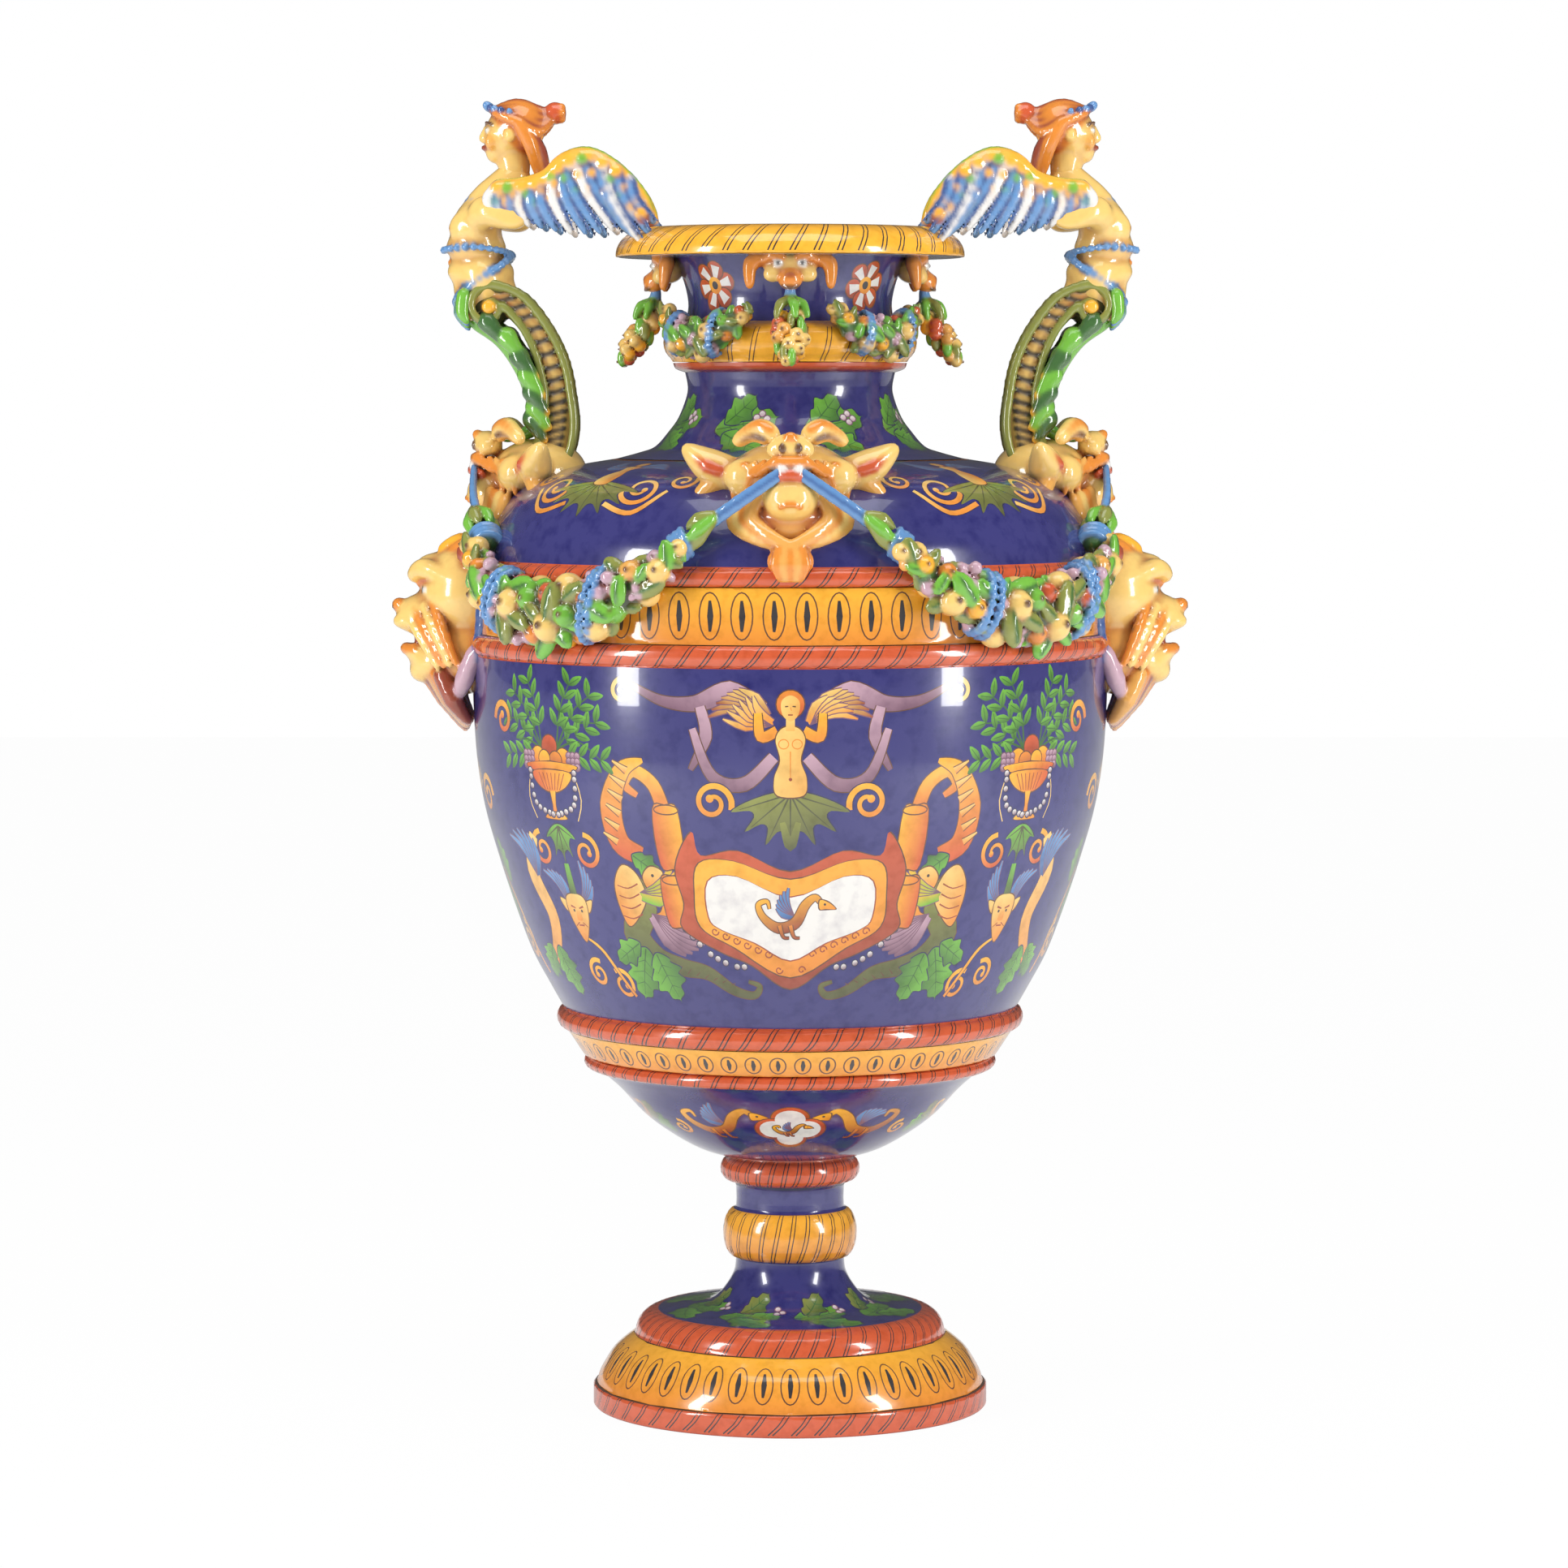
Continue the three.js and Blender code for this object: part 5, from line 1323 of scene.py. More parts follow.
def scroll_wax():
    wax = Wax((158, -27, 690), (250, 27, 862), 1.8)
    outer = [(224, 855), (201, 845), (181.5, 820), (170, 795), (165, 769), (163, 750), (165, 733),
             (172, 716), (184, 706)]
    inner = [(216, 838), (202, 822), (192.5, 803), (186, 779), (185, 761), (188, 745), (192, 731),
             (195, 722), (200, 714)]
    for (ax, az), (bx, bz) in zip(smooth(outer, parts=5), smooth(inner, parts=5)):
        middle, thick = ((ax + bx) / 2, (az + bz) / 2), math.hypot(ax - bx, az - bz) / 2
        flat = 19 - thick * 0.92
        wax.rod((middle[0], -flat, middle[1]), (middle[0], flat, middle[1]), thick * 0.92, thick * 0.92,
                CREAM, melt=3)
    for y in (-21.5, 21.5):
        wax.vine([(x, y, z) for x, z in outer], [3.2] * 3, OLIVE, melt=1.5)
        wax.vine([(x, y, z) for x, z in inner], [2.8] * 3, OLIVE, melt=1.5)
        for turn, coils, centre, radius in ((2.1, 2.3, (227, 837), 17.5), (3.6, 1.6, (205, 708), 10)):
            count = 26
            path = []
            for i in range(count):
                share = i / (count - 1)
                angle = turn - share * coils * math.pi
                size = radius * (1 - 0.82 * share)
                path.append((centre[0] + size * math.cos(angle), y * 0.98,
                             centre[1] + size * math.sin(angle)))
            wax.vine(path, [3.4, 2.8, 2.2], OLIVE, parts=1, melt=0.8)
            wax.vine([(px, y * 0.94, pz - 3.6) for px, _, pz in path], [1.4, 1.2], OLIVE_DEEP, parts=1,
                     melt=0.8)
    wax.rod((227, -4.5, 837), (227, 4.5, 837), 15.5, 15.5, OLIVE_DEEP, melt=2)
    wax.rod((227, -24, 837), (227, 24, 837), 5.0, 5.0, YELLOW, melt=1)
    wax.rod((205, -10, 708), (205, 10, 708), 9.5, 9.5, OLIVE_DEEP, melt=2)
    path = smooth([((a[0] + b[0]) / 2, (a[1] + b[1]) / 2) for a, b in zip(outer, inner)], parts=5)
    for i in range(2, len(path) - 2, 2):
        for y in (-18.6, 18.6):
            wax.rod((path[i][0] - 5, y, path[i][1] + 1.5), (path[i][0] + 5, y, path[i][1] - 1.5), 1.6,
                    1.6, LINE, melt=0.6)
    back = smooth(outer, parts=5)
    for ax, az in back[2:-2:2]:
        wax.rod((ax + 0.6, -12, az), (ax + 0.6, 12, az), 1.6, 1.6, OLIVE_DEEP, melt=1.0)
    return wax


def acanthus_wax():
    wax = Wax((176, -30, 728), (256, 30, 842), 1.7)
    spine = smooth([(237, 0, 828), (215, 0, 813), (201, 0, 792), (194, 0, 772), (191, 0, 755),
                    (198, 0, 743), (217, 0, 738)], parts=6)
    wax.vine(spine, [7, 8, 7, 6, 4.5, 2.4], GREEN, parts=1, melt=3)
    for i in range(7):
        at = spine[3 + i * 4]
        width = 17 + 6 * math.sin(0.4 + i * 0.42)
        for side in (-1, 1):
            tip = (at[0] - 11 + i * 0.8, side * min(width + 3, 26), at[2] - 10)
            wax.vine([(at[0], side * 4, at[2] + 6), (at[0] + 1, side * width, at[2] + 4), tip],
                     [6, 7.5, 3.4], GREEN if i % 2 else GREEN_DEEP, melt=1.8)
            wax.ball((tip[0] - 1.5, tip[1], tip[2] - 1), (3.4, 2.4, 3.4), YELLOW, melt=1.4)
            wax.vine([(at[0] + 4, side * 3, at[2] + 4), (at[0] + 1, side * width * 0.86, at[2] + 1)],
                     [1.6, 1.2], YELLOW, melt=0.8)
    return wax


def wing_wax():
    """Scalloped coverts above a fan of long feathers, root at the shoulder and tip at the rim."""
    wax = Wax((90, 22, 874), (234, 78, 968), 1.7)
    edge = smooth([(219, 36, 925), (200, 39, 926), (181, 44, 932), (168, 48, 944), (150, 53, 948),
                   (130, 57, 938), (112, 60, 920), (104, 61, 904)], parts=4)
    ends = smooth([(222, 34, 905), (205, 36, 900), (186, 41, 897), (164, 47, 893), (142, 53, 893),
                   (124, 57, 896), (112, 60, 886), (102, 62, 900)], parts=4)
    count = 15
    for i in range(count):
        share = i / (count - 1)
        start, end = edge[int(share * 22)], ends[int(share * 28)]
        bend = [(start[k] + end[k]) / 2 + (5, 2, 2)[k] for k in range(3)]
        wax.vine([start, bend, end], [5.4, 5.4, 2.6], BLUE if i % 3 else WHITE, melt=0.9)
        wax.vine([(q[0] - 3.4, q[1] + 4.6, q[2]) for q in (start, bend, end)], [1.5, 1.5, 1.0],
                 BLUE_DEEP, melt=0.6)
    for row, (drop, size) in enumerate(((0.44, 6.6), (0.24, 6.6), (0.04, 6.2))):
        for i in range(12 - row):
            share = (i + 0.5 * (row % 2)) / 12
            start, end = edge[int(share * 27)], ends[int(share * 28)]
            at = [start[k] + (end[k] - start[k]) * drop for k in range(3)]
            wax.ball((at[0] - 1.2, at[1] + 1.6, at[2] - 2.6), (size, 5.4, size),
                     RUSSET if i % 2 else WHITE, melt=0.8)
            wax.ball((at[0], at[1] + 3.4, at[2] + 0.4), (size - 0.6, 4.6, size - 0.8),
                     (GREEN, YELLOW, YELLOW)[(row + i) % 3], melt=0.8)
    wax.vine(edge, [6, 6.5, 7, 6.5, 5.5, 4.5, 3], YELLOW, parts=1, melt=2.5)
    wax.vine([(q[0], q[1], q[2] + 5) for q in edge], [2, 2.4, 2], GREEN, parts=1, melt=2)
    return wax

# %% [markdown]
# One model serves both handles: it is turned half round, and the wing is also mirrored front to back.

# %% Handles, both sides
SIDES = ((0, "right"), (2, "left"))


def both_handles(node, wax):
    model = finished(wax)
    for quarter, side in SIDES:
        cast(f"{side}_{node}_relief", model, f"{side}_{node}", quarter)
    print(node, "triangles", 2 * 2 * len(model[1]))


def four_wings(wax):
    """The wing at plus Y, its mirror at minus Y, and both turned round for the left handle."""
    points, faces, colours = finished(wax)
    mirrored = (points * (1, -1, 1), faces[:, ::-1], colours)
    for quarter, side in SIDES:
        behind, before = ("back", "front") if quarter == 0 else ("front", "back")
        cast(f"{side}_{behind}_wing_relief", (points, faces, colours), f"{side}_{behind}_wing", quarter)
        cast(f"{side}_{before}_wing_relief", mirrored, f"{side}_{before}_wing", quarter)
    print("wings triangles", 4 * 2 * len(faces))


both_handles("siren", siren_wax())
both_handles("siren_head", siren_head_wax())
both_handles("scroll", scroll_wax())
both_handles("acanthus", acanthus_wax())
four_wings(wing_wax())


# %% [markdown]
# ## Masks
# Lion masks hang below the handles, grotesques look up from the shoulder above the garlands, and
# small beasts carry the fruit at the rim. All are fantastic faces built from lumps.

# %% Lion masks
def lion_wax():
    wax = Wax((216, -64, 504), (308, 64, 668), 2.0)
    wax.ball((244, 0, 622), (37, 44, 38), CREAM, melt=8)
    wax.ball((246, 0, 578), (28, 38, 34), FLESH, melt=8)
    wax.ball((277, 0, 604), (22, 24, 17), CREAM, melt=6)
    wax.ball((297, 0, 612), (5.5, 9, 5.5), AMBER, melt=3)
    wax.ball((268, 0, 570), (20, 24, 17), CREAM, melt=6)
    wax.ball((279, 0, 562), (10, 13, 9), CREAM, melt=4)
    wax.ball((300, 0, 587), (15, 16, 6), carve=True, melt=2)
    wax.ball((282, 0, 587), (3.5, 14, 5), RUSSET, melt=1)
    wax.ball((277, 0, 575), (15, 17, 8), CREAM, melt=4)
    wax.vine([(284, -12, 578), (292, 0, 579), (284, 12, 578)], [3, 3.6, 3], AMBER, melt=3)
    wax.ball((270, 0, 641), (14, 16, 10), CREAM, melt=5)
    for side in (-1, 1):
        wax.ball((290, side * 9, 600), (11, 9.5, 6.5), CREAM, melt=3)
        wax.ball((302, side * 4, 610), (1.8, 2, 1.6), LINE, melt=0.6)
        wax.vine([(284, side * 6, 635), (276, side * 18, 640), (258, side * 32, 632)], [6, 7, 4.5],
                 CREAM, melt=3)
        wax.vine([(281, side * 9, 628), (273, side * 20, 630), (262, side * 29, 625)], [2.4, 3, 2],
                 AMBER, melt=1)
        wax.ball((274, side * 19, 624), (4, 6, 3), WHITE, melt=1)
        wax.ball((277.4, side * 18, 624), (1.8, 2.2, 2.2), LINE, melt=0.5)
        wax.ball((240, side * 40, 652), (9, 9, 11), ORANGE, melt=3)
        wax.ball((247, side * 41, 652), (4, 4.6, 6.6), RUSSET, melt=1.5)
        for i in range(4):
            wax.vine([(291 - i * 7, side * (14 + i * 4), 606 + i * 3),
                      (280 - i * 6, side * (25 + i * 4), 590 + i * 2),
                      (266 - i * 5, side * (32 + i * 4), 566 + i)], [2.6, 4, 2.6],
                      AMBER if i % 2 else CREAM, melt=1.2)
            wax.vine([(288 - i * 7, side * (17 + i * 4), 603 + i * 3),
                      (276 - i * 6, side * (28 + i * 4), 588 + i * 2)],
                     [1.3, 1.3], BROWN, melt=0.6)
        wax.vine([(232, side * 49, 634), (229, side * 54, 606), (235, side * 49, 574)], [6, 7, 4.5],
                 BLUE_DEEP, melt=2)
        wax.vine([(237, side * 48, 578), (245, side * 42, 558), (250, side * 30, 546)], [6, 7, 4],
                 MAUVE, melt=2)
        for i in range(4):
            wax.vine([(262 - i * 8, side * (8 + i * 9), 654 - i * 2),
                      (250 - i * 6, side * (12 + i * 9), 660 - i * 3),
                      (236 - i * 2, side * (15 + i * 9), 655 - i * 6)], [5, 6, 3.4],
                      AMBER if i % 2 else YELLOW, melt=1.6)
    for i in range(-4, 5):
        lean = i / 4
        wax.vine([(275 - 12 * abs(lean), lean * 26, 560), (262 - 8 * abs(lean), lean * 29, 541),
                  (247 - 3 * abs(lean), lean * 20, 519 + 6 * abs(lean))],
                 [6.5, 7, 3.4], (AMBER, RUSSET, FLESH)[i % 3], melt=1.4)
    return wax


both_handles("lion_mask", lion_wax())

# %% [markdown]
# A grotesque looks up from the shoulder and holds two ribbons in its mouth.

# %% Grotesques on the shoulder
def grotesque_wax():
    """A mask looking up and out, modelled for the front at minus Y."""
    wax = Wax((-82, -252, 632), (82, -150, 758), 2.0)
    wax.ball((0, -190, 712), (44, 36, 26), CREAM, melt=8)
    wax.ball((0, -219, 677), (30, 16, 19), FLESH, melt=6)
    wax.ball((0, -226, 697), (20, 19, 18), CREAM, melt=3)
    # Painted shade: an amber line low on the chin.
    wax.vine([(-8, -243, 691), (0, -245.5, 693), (8, -243, 691)], [1.4, 1.6, 1.4], AMBER, melt=1)
    wax.vine([(-15, -233, 711), (0, -241, 714), (15, -233, 711)], [3.2, 3.6, 3.2], ORANGE, melt=1.5)
    wax.ball((0, -236, 718), (15, 4, 3.4), LINE, melt=1)
    wax.ball((0, -229, 734), (14, 11, 10), CREAM, melt=4)
    # Painted shade: an amber lump on the nose.
    wax.ball((0, -237, 741), (5, 4, 4), AMBER, melt=2)
    for side in (-1, 1):
        wax.ball((side * 5.4, -240.5, 718), (4.2, 2.6, 3.2), WHITE, melt=0.6)
        wax.vine([(0, -239, 723.5), (side * 11, -236, 723), (side * 24, -224, 714)], [3.2, 3.8, 2.6],
                 AMBER, melt=1.6)
        wax.ball((side * 10.5, -229, 732), (7, 7, 6.5), CREAM, melt=2)
        wax.ball((side * 6, -239.4, 733), (2.8, 2.2, 3.6), BROWN, melt=0.6)
        wax.ball((side * 32, -206, 712), (16, 14, 14), CREAM, melt=5)
        for i in range(3):
            wax.vine([(side * (18 + i * 7), -227 + i * 5, 724 - i),
                      (side * (29 + i * 6), -219 + i * 5, 712),
                      (side * (31 + i * 5), -216 + i * 5, 696)], [2, 2.6, 1.8],
                      AMBER if i % 2 == 0 else FLESH, melt=1.2)
        wax.vine([(side * 13, -220, 743), (side * 23, -213, 747), (side * 38, -203, 738)], [5, 5.4, 4],
                 CREAM, melt=5)
        wax.vine([(side * 14, -224, 746), (side * 24, -217, 750), (side * 36, -207, 742)],
                 [1.8, 2.2, 1.6], AMBER, melt=1)
        wax.vine([(side * 18, -219, 738), (side * 27, -213, 741), (side * 36, -205, 736)],
                 [3, 3.6, 2.2], FLESH, melt=1)
        wax.vine([(side * 19, -222, 739), (side * 27, -216.6, 741), (side * 34, -209, 738)],
                 [1.2, 1.5, 1.1], BROWN, melt=0.6)
        wax.vine([(side * 44, -192, 714), (side * 60, -190, 721), (side * 75, -186, 732)],
                 [12, 11, 3.6], CREAM, melt=4)
        wax.vine([(side * 54, -192, 708), (side * 64, -190, 700), (side * 68, -188, 694)], [7, 5, 2.4],
                 FLESH, melt=3)
        wax.vine([(side * 50, -203, 716), (side * 60, -200, 720), (side * 68, -194, 726)], [3, 4, 2],
                 ORANGE, melt=1.4)
        for i in range(4):
            wax.vine([(side * (22 + i * 5), -226 + i * 4, 698 - i * 2),
                      (side * (28 + i * 4), -228 + i * 3, 683 - i * 2),
                      (side * (14 + i * 2), -239 + i * 2, 670 - i),
                      (-side * (3 + i * 2), -243 + i, 662 - i)],
                     [4.6, 5.4, 5, 3.6], (FLESH, AMBER, CREAM)[i % 3], melt=1.2)
    wax.ball((0, -238, 652), (17, 8, 12), AMBER, melt=3)
    for i in range(-2, 3):
        wax.vine([(i * 4, -244, 660), (i * 5.4, -245.6, 650), (i * 3.6, -243, 639)], [3, 3.6, 2.2],
                 (AMBER, FLESH)[i % 2], melt=1)
    return wax


wax = grotesque_wax()
model = finished(wax)
quarters = ("front", "right", "back", "left")
for quarter, place in enumerate(quarters):
    cast(f"{place}_shoulder_relief", model, f"{place}_shoulder_mask", quarter)
print("shoulder masks triangles", 4 * 2 * len(model[1]))

# %% [markdown]
# Small beasts under the lip carry the drops of fruit.

# %% Beasts at the rim
def rim_beast_wax():
    wax = Wax((-40, -116, 836), (40, -78, 884), 1.5)
    wax.ball((0, -92, 866), (20, 12, 11), CREAM, melt=4)
    wax.ball((0, -103, 856), (9, 8, 8), AMBER, melt=4)
    wax.ball((0, -108.6, 858.6), (4, 2.6, 2.4), RUSSET, melt=1)
    wax.vine([(-6, -107, 851), (0, -109.4, 850), (6, -107, 851)], [1.1, 1.3, 1.1], BROWN, melt=0.8)
    for side in (-1, 1):
        wax.vine([(side * 6, -101, 872), (side * 13, -100, 874), (side * 20, -96, 870)], [3, 3.6, 2.4],
                 AMBER, melt=2)
        wax.ball((side * 9, -103, 868), (3.6, 2.6, 2.6), WHITE, melt=1)
        wax.ball((side * 9, -105.4, 868), 1.4, LINE, melt=0.5)
        wax.vine([(side * 18, -92, 872), (side * 29, -93, 868), (side * 30, -95, 852)], [5, 5.4, 3],
                 AMBER, melt=2)
        wax.ball((side * 13, -98, 860), (7, 6, 6), CREAM, melt=3)
    return wax


wax = rim_beast_wax()
model = finished(wax)
for quarter, place in enumerate(quarters):
    cast(f"{place}_rim_relief", model, f"{place}_rim_mask", quarter)
print("rim masks triangles", 4 * 2 * len(model[1]))


# %% [markdown]
# ## Garlands, ribbons and fruit
# A heavy swag of fruit and leaves hangs across each corner of the shoulder between two masks, and
# a light one round the neck. Fruit sits on a golden angle spiral round the swag, so no row shows.

# %% Swags of fruit
GOLDEN = math.pi * (3 - math.sqrt(5))
FRUIT_TONES = (CREAM, FLESH, ORANGE, CREAM, YELLOW, MAUVE, CREAM, GREEN, AMBER)


def leaning(angle, tilt):
    """Axes of a leaf on a swag: its thin way out from the vase, its long way turned by tilt."""
    out = np.array([math.sin(angle), -math.cos(angle), 0])
    along, up = np.array([math.cos(angle), math.sin(angle), 0]), np.array([0, 0, 1.0])
    return np.stack([out, along * math.cos(tilt) - up * math.sin(tilt),
                     along * math.sin(tilt) + up * math.cos(tilt)], axis=1)


def swag_wax(radius, middle, rise, reach, tall, deep, count, fruit, step, corner):
    """A swag round the corner, its middle low and its ends raised by rise."""
    ends = [(radius * math.sin(a), -radius * math.cos(a)) for a in (corner - reach, corner,
            corner + reach)]
    low = (min(e[0] for e in ends) - deep - fruit, min(e[1] for e in ends) - deep - fruit,
           middle - tall - fruit)
    high = (max(e[0] for e in ends) + deep + fruit, max(e[1] for e in ends) + deep + fruit,
            middle + rise + tall + fruit)
    wax = Wax(low, high, step)

    def place(swing, out, lift):
        angle = corner + swing * reach
        return np.array([(radius + out) * math.sin(angle), -(radius + out) * math.cos(angle),
                         middle + rise * swing * swing + lift])

    for i in range(-8, 9):
        full = math.sqrt(max(1 - abs(i / 8.5) ** 2.2, 0.05))
        wax.ball(place(i / 8.5, 0, 0), (deep * full * 0.8, deep * full * 0.8, tall * full * 0.8),
                 GREEN_DEEP, melt=3)
    for i in range(count):
        swing = (i + 0.5) / count * 2 - 1
        full = math.sqrt(max(1 - abs(swing) ** 2.2, 0.04))
        turn = i * GOLDEN
        at = place(swing, deep * full * 0.72 * math.cos(turn), tall * full * 0.78 * math.sin(turn))
        angle = corner + swing * reach
        size = fruit * (0.8 + 0.2 * math.cos(i * 2.1)) * (0.5 + 0.5 * full)
        outward = np.array([math.sin(angle), -math.cos(angle), 0])
        if i % 2:
            axes = leaning(angle, math.sin(i * 1.7) * 1.3 - 0.9 * swing)
            wax.ball(at + outward * size * 0.35, (size * 0.42, size * 0.8, size * 1.5),
                     GREEN if i % 4 == 1 else OLIVE, turn=axes, melt=0.8)
            wax.ball(at + outward * size * 0.72, (size * 0.16, size * 0.14, size * 1.2), GREEN_DEEP,
                     turn=axes, melt=0.5)
        elif i % 10 == 4:
            for k in range(6):
                wax.ball(at + (size * 0.5 * math.cos(k), size * 0.5 * math.sin(k),
                               size * 0.6 * math.cos(k * 2)), size * 0.5, MAUVE, melt=0.5)
        else:
            wax.ball(at, size, FRUIT_TONES[(i // 2) % len(FRUIT_TONES)], melt=0.8)
            wax.ball(at + outward * size * 0.98 + (0, 0, size * 0.15), size * 0.24, BROWN, melt=0.5)
    for swing in (-0.42, 0.42):
        full = math.sqrt(1 - abs(swing) ** 2.2)
        for k in range(22):
            turn = k * math.pi * 2 / 22
            for side in (-0.03, 0.03):
                wax.ball(place(swing + side + math.sin(turn) * 0.05,
                               deep * full * 1.12 * math.cos(turn), tall * full * 1.1 * math.sin(turn)),
                         fruit * 0.3, BLUE, melt=0.8)
    return wax


corners = ("front_right", "back_right", "back_left", "front_left")
for node, wax in (("garland", swag_wax(250, 612, 48, math.radians(27), 24, 17, 110, 11.5, 2.1,
                                       math.pi / 4)),
                  ("neck_garland", swag_wax(99, 813, 22, math.radians(28), 16, 11, 64, 6.6, 1.5,
                                            math.pi / 4))):
    model = finished(wax)
    for quarter, place in enumerate(corners):
        cast(f"{place}_{node}_relief", model, f"{place}_{node}", quarter)
    print(node, "triangles", 4 * 2 * len(model[1]))

# %% [markdown]
# A drop of fruit hangs from each beast, and ribbons with a calyx and a knot run to the swags.

# %% Fruit drops and ribbons
def drop_wax():
    wax = Wax((-26, -136, 780), (26, -86, 854), 1.5)
    wax.vine([(0, -101, 850), (0, -103, 838)], [3, 5], BLUE, melt=2)
    for k in range(5):
        turn = k * math.pi * 2 / 5
        wax.vine([(0, -103, 842), (9 * math.cos(turn), -106 + 7 * math.sin(turn), 838),
                  (13 * math.cos(turn), -109 + 9 * math.sin(turn), 829)],
                 [2.6, 3.6, 1.8], OLIVE if k % 2 else GREEN, melt=1.2)
    for i in range(26):
        share = i / 25
        full = math.sin(0.55 + share * 2.3)
        at = (11 * full * math.cos(i * GOLDEN), -106 - 19 * share + 8 * full * math.sin(i * GOLDEN),
              829 - 33 * share)
        if i % 3 == 2:
            wax.ball(at, (3, 4, 7), GREEN if i % 2 else OLIVE, melt=1)
        else:
            wax.ball(at, 5.6 - 1.2 * share, (CREAM, YELLOW, FLESH, CREAM, ORANGE)[i % 5], melt=0.8)
            wax.ball((at[0] * 1.3, at[1] - 5.2, at[2]), 1.3, BROWN, melt=0.4)
    return wax


def ribbon_wax(side):
    """One ribbon with its green calyx and blue knot, from the mask's mouth to a swag."""
    low, high = sorted((side * 2, side * 96))
    wax = Wax((low, -256, 646), (high, -208, 724), 1.7)
    for lift in (-2.6, 0, 2.6):
        wax.vine([(side * 9, -239, 714 + lift), (side * 38, -238, 694 + lift),
                  (side * 66, -231, 674 + lift)],
                 [2.6, 2.9, 2.9], BLUE if lift else BLUE_DEEP, melt=1.0)
    for k in range(6):
        turn = k * math.pi / 3
        wax.vine([(side * 56, -236 + 3 * math.cos(turn), 683 + 3 * math.sin(turn)),
                  (side * 66, -231 + 9 * math.cos(turn), 675 + 9 * math.sin(turn)),
                  (side * 73, -228 + 9 * math.cos(turn), 669 + 9 * math.sin(turn))], [3, 4.4, 2.4],
                  GREEN if k % 2 else OLIVE, melt=1.2)
    for row in range(3):
        for k in range(20):
            turn = k * math.pi / 10
            wax.ball((side * (75 + row * 4 + 4 * math.sin(turn)), -226.5 + row + 10.5 * math.cos(turn),
                      666 - row * 3 + 9 * math.sin(turn)),
                     2.7, BLUE, melt=1.0)
    wax.ball((side * 79, -225, 663), (9, 9, 9), GREEN_DEEP, melt=2)
    return wax


for side, letter in ((-1, "a"), (1, "b")):
    wax = ribbon_wax(side)
    model = finished(wax)
    for quarter, place in enumerate(quarters):
        cast(f"{place}_ribbon_{letter}_relief", model, f"{place}_ribbon_{letter}", quarter)

wax = drop_wax()
model = finished(wax)
for quarter, place in enumerate(quarters):
    cast(f"{place}_drop_relief", model, f"{place}_fruit_drop", quarter)

# %% [markdown]
# ## Camera, light and floor
# The photograph looks along +Y from about four metres, a little above the middle of the vase. Two
# tall soft boxes give the upright highlights of the glaze, and a white floor sends light back up.

# %% Camera
camera_data = bpy.data.cameras.new("studio_camera")
camera_data.sensor_width = 36
camera_data.lens = 124.8
camera = bpy.data.objects.new("studio_camera", camera_data)
bpy.context.scene.collection.objects.link(camera)
camera.location = (-0.005, -4.13, 0.775)
target = Vector((-0.0046, 0, 0.4753))
camera.rotation_euler = (target - camera.location).to_track_quat("-Z", "Y").to_euler()
bpy.context.scene.camera = camera

# %% [markdown]
# The backdrop is white to the camera and dim to the glaze, so only the soft boxes shine on it.

# %% Lights, floor and backdrop
def soft_box(name, place, aim, wide, tall, power):
    lamp = bpy.data.lights.new(name, "AREA")
    lamp.shape = "RECTANGLE"
    lamp.size, lamp.size_y = wide, tall
    lamp.energy = power
    made = bpy.data.objects.new(name, lamp)
    bpy.context.scene.collection.objects.link(made)
    made.location = place
    made.rotation_euler = (Vector(aim) - Vector(place)).to_track_quat("-Z", "Y").to_euler()


soft_box("left_box", (-1.93, -1.25, 1.05), (0, 0, 0.55), 0.36, 1.5, 30)
soft_box("right_box", (1.93, -1.25, 1.05), (0, 0, 0.55), 0.36, 1.5, 30)
soft_box("top_box", (0, -0.6, 2.6), (0, 0, 0.5), 1.8, 1.2, 16)

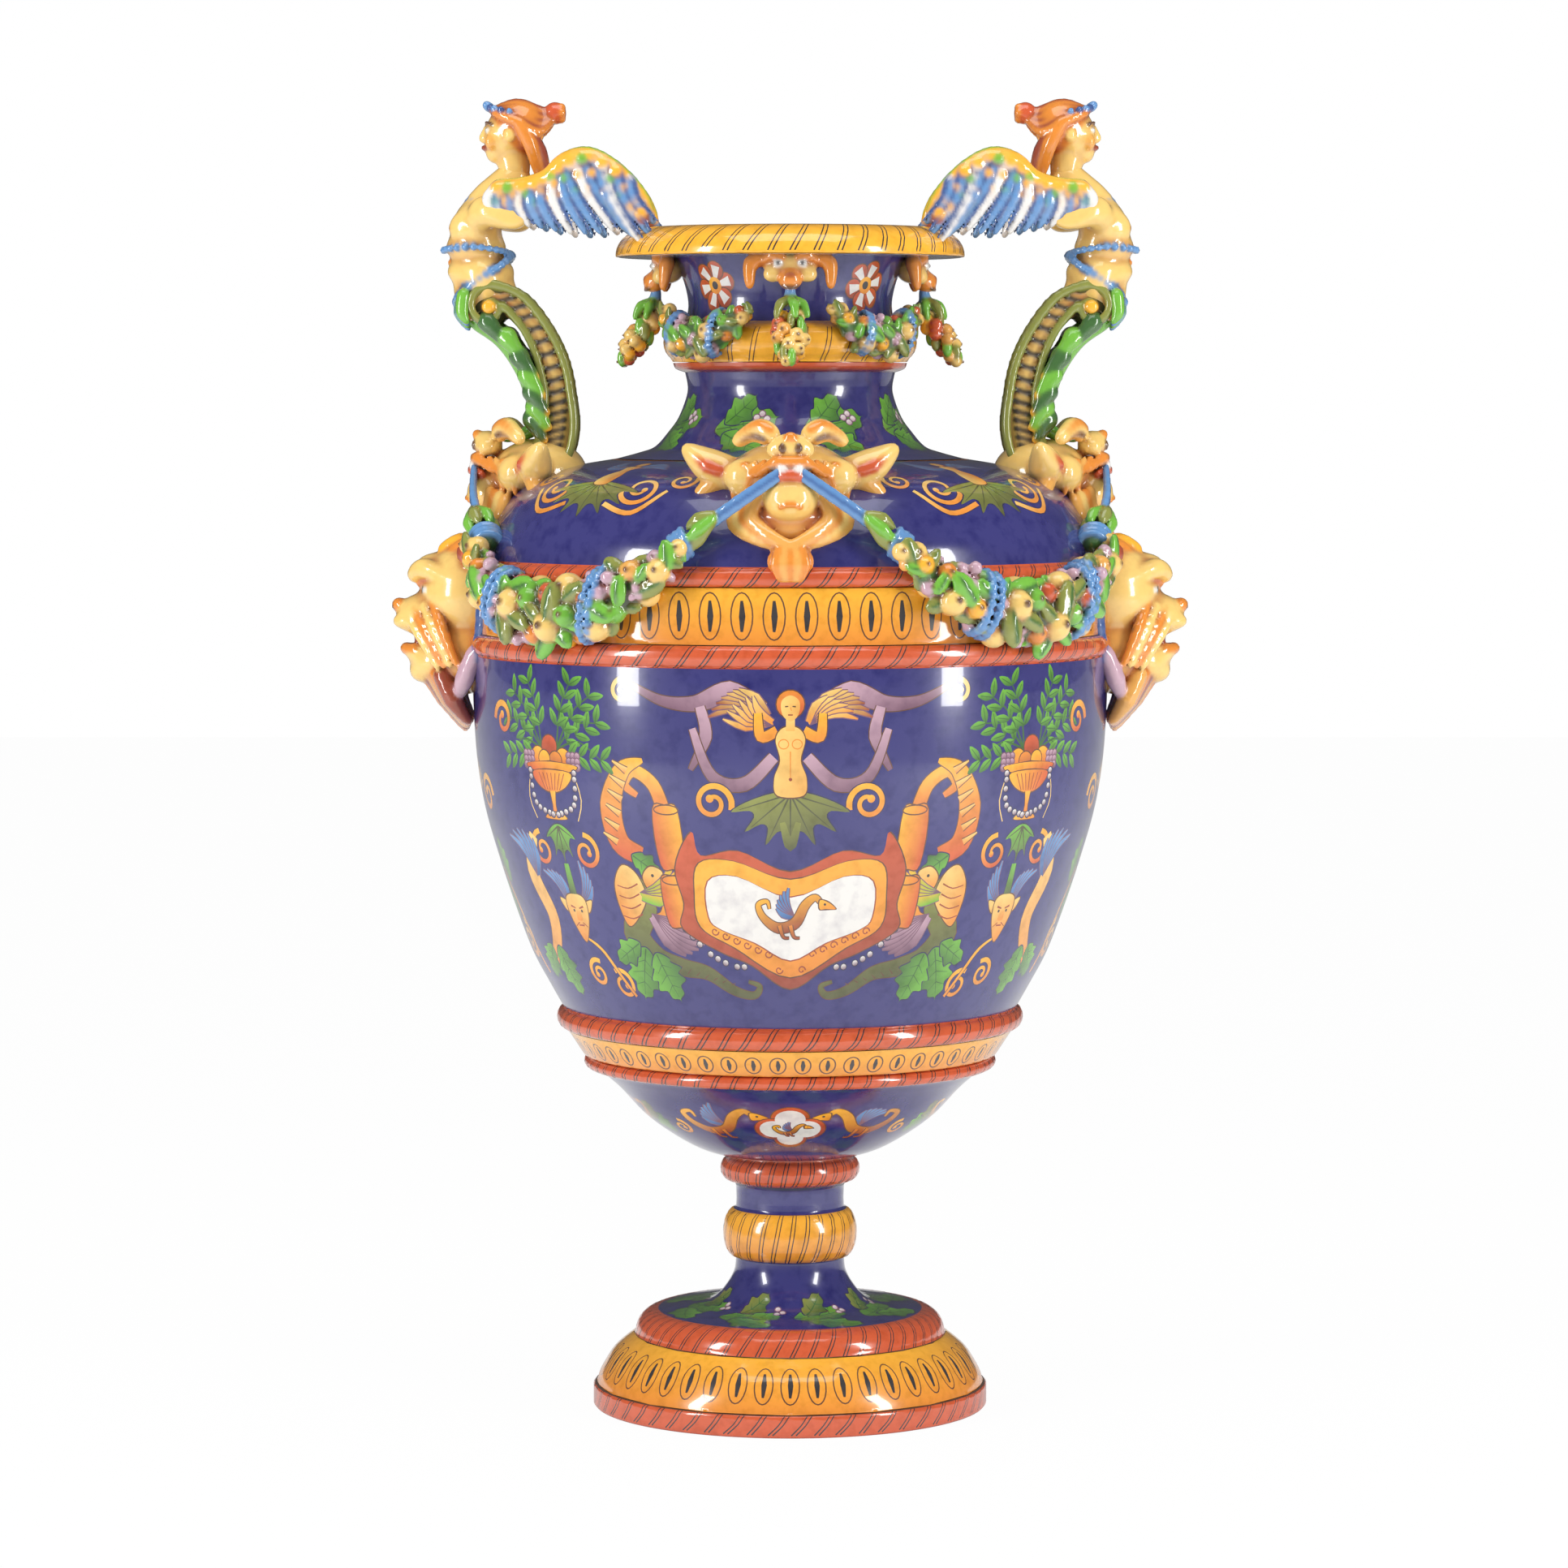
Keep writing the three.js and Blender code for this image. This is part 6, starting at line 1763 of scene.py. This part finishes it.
floor_mesh = bpy.data.meshes.new("studio_floor")
floor_mesh.from_pydata([(-8, -8, 0), (8, -8, 0), (8, 8, 0), (-8, 8, 0)], [], [(0, 1, 2, 3)])
floor = bpy.data.objects.new("studio_floor", floor_mesh)
bpy.context.scene.collection.objects.link(floor)
floor_recipe = Recipe("white_paper")
paper = floor_recipe.mix(floor_recipe.noise(3.0), (0.90, 0.90, 0.90, 1), (0.93, 0.93, 0.93, 1))
floor_recipe.feed(floor_recipe.shader.inputs["Base Color"], paper)
floor_recipe.shader.inputs["Roughness"].default_value = 0.9
nodes, links = floor_recipe.material.node_tree.nodes, floor_recipe.material.node_tree.links
glow = nodes.new("ShaderNodeEmission")
glow.inputs["Color"].default_value = (1, 1, 1, 1)
ray = nodes.new("ShaderNodeLightPath")
share = nodes.new("ShaderNodeMath")
share.operation = "MULTIPLY"
share.inputs[1].default_value = 0.97
links.new(ray.outputs["Is Camera Ray"], share.inputs[0])
either = nodes.new("ShaderNodeMixShader")
links.new(share.outputs[0], either.inputs[0])
links.new(floor_recipe.shader.outputs[0], either.inputs[1])
links.new(glow.outputs[0], either.inputs[2])
links.new(either.outputs[0], nodes["Material Output"].inputs["Surface"])
floor_mesh.materials.append(floor_recipe.material)

world = bpy.data.worlds.new("studio")
bpy.context.scene.world = world
world.use_nodes = True
nodes, links = world.node_tree.nodes, world.node_tree.links
background = nodes["Background"]
background.inputs["Color"].default_value = (1, 1, 1, 1)
path = nodes.new("ShaderNodeLightPath")
def switched(ray, off, on):
    """Strength that goes from off to on for one kind of ray."""
    level = nodes.new("ShaderNodeMix")
    links.new(path.outputs[ray], level.inputs["Factor"])
    for socket, value in ((level.inputs["A"], off), (level.inputs["B"], on)):
        if isinstance(value, float):
            socket.default_value = value
        else:
            links.new(value, socket)
    return level.outputs["Result"]


DIFFUSE_LEVEL, GLOSSY_LEVEL = 0.55, 0.08
strength = switched("Is Glossy Ray", DIFFUSE_LEVEL, GLOSSY_LEVEL)
strength = switched("Is Transmission Ray", strength, 1.0)
strength = switched("Is Camera Ray", strength, 1.0)
links.new(strength, background.inputs["Strength"])
bpy.context.scene.view_settings.view_transform = "Standard"
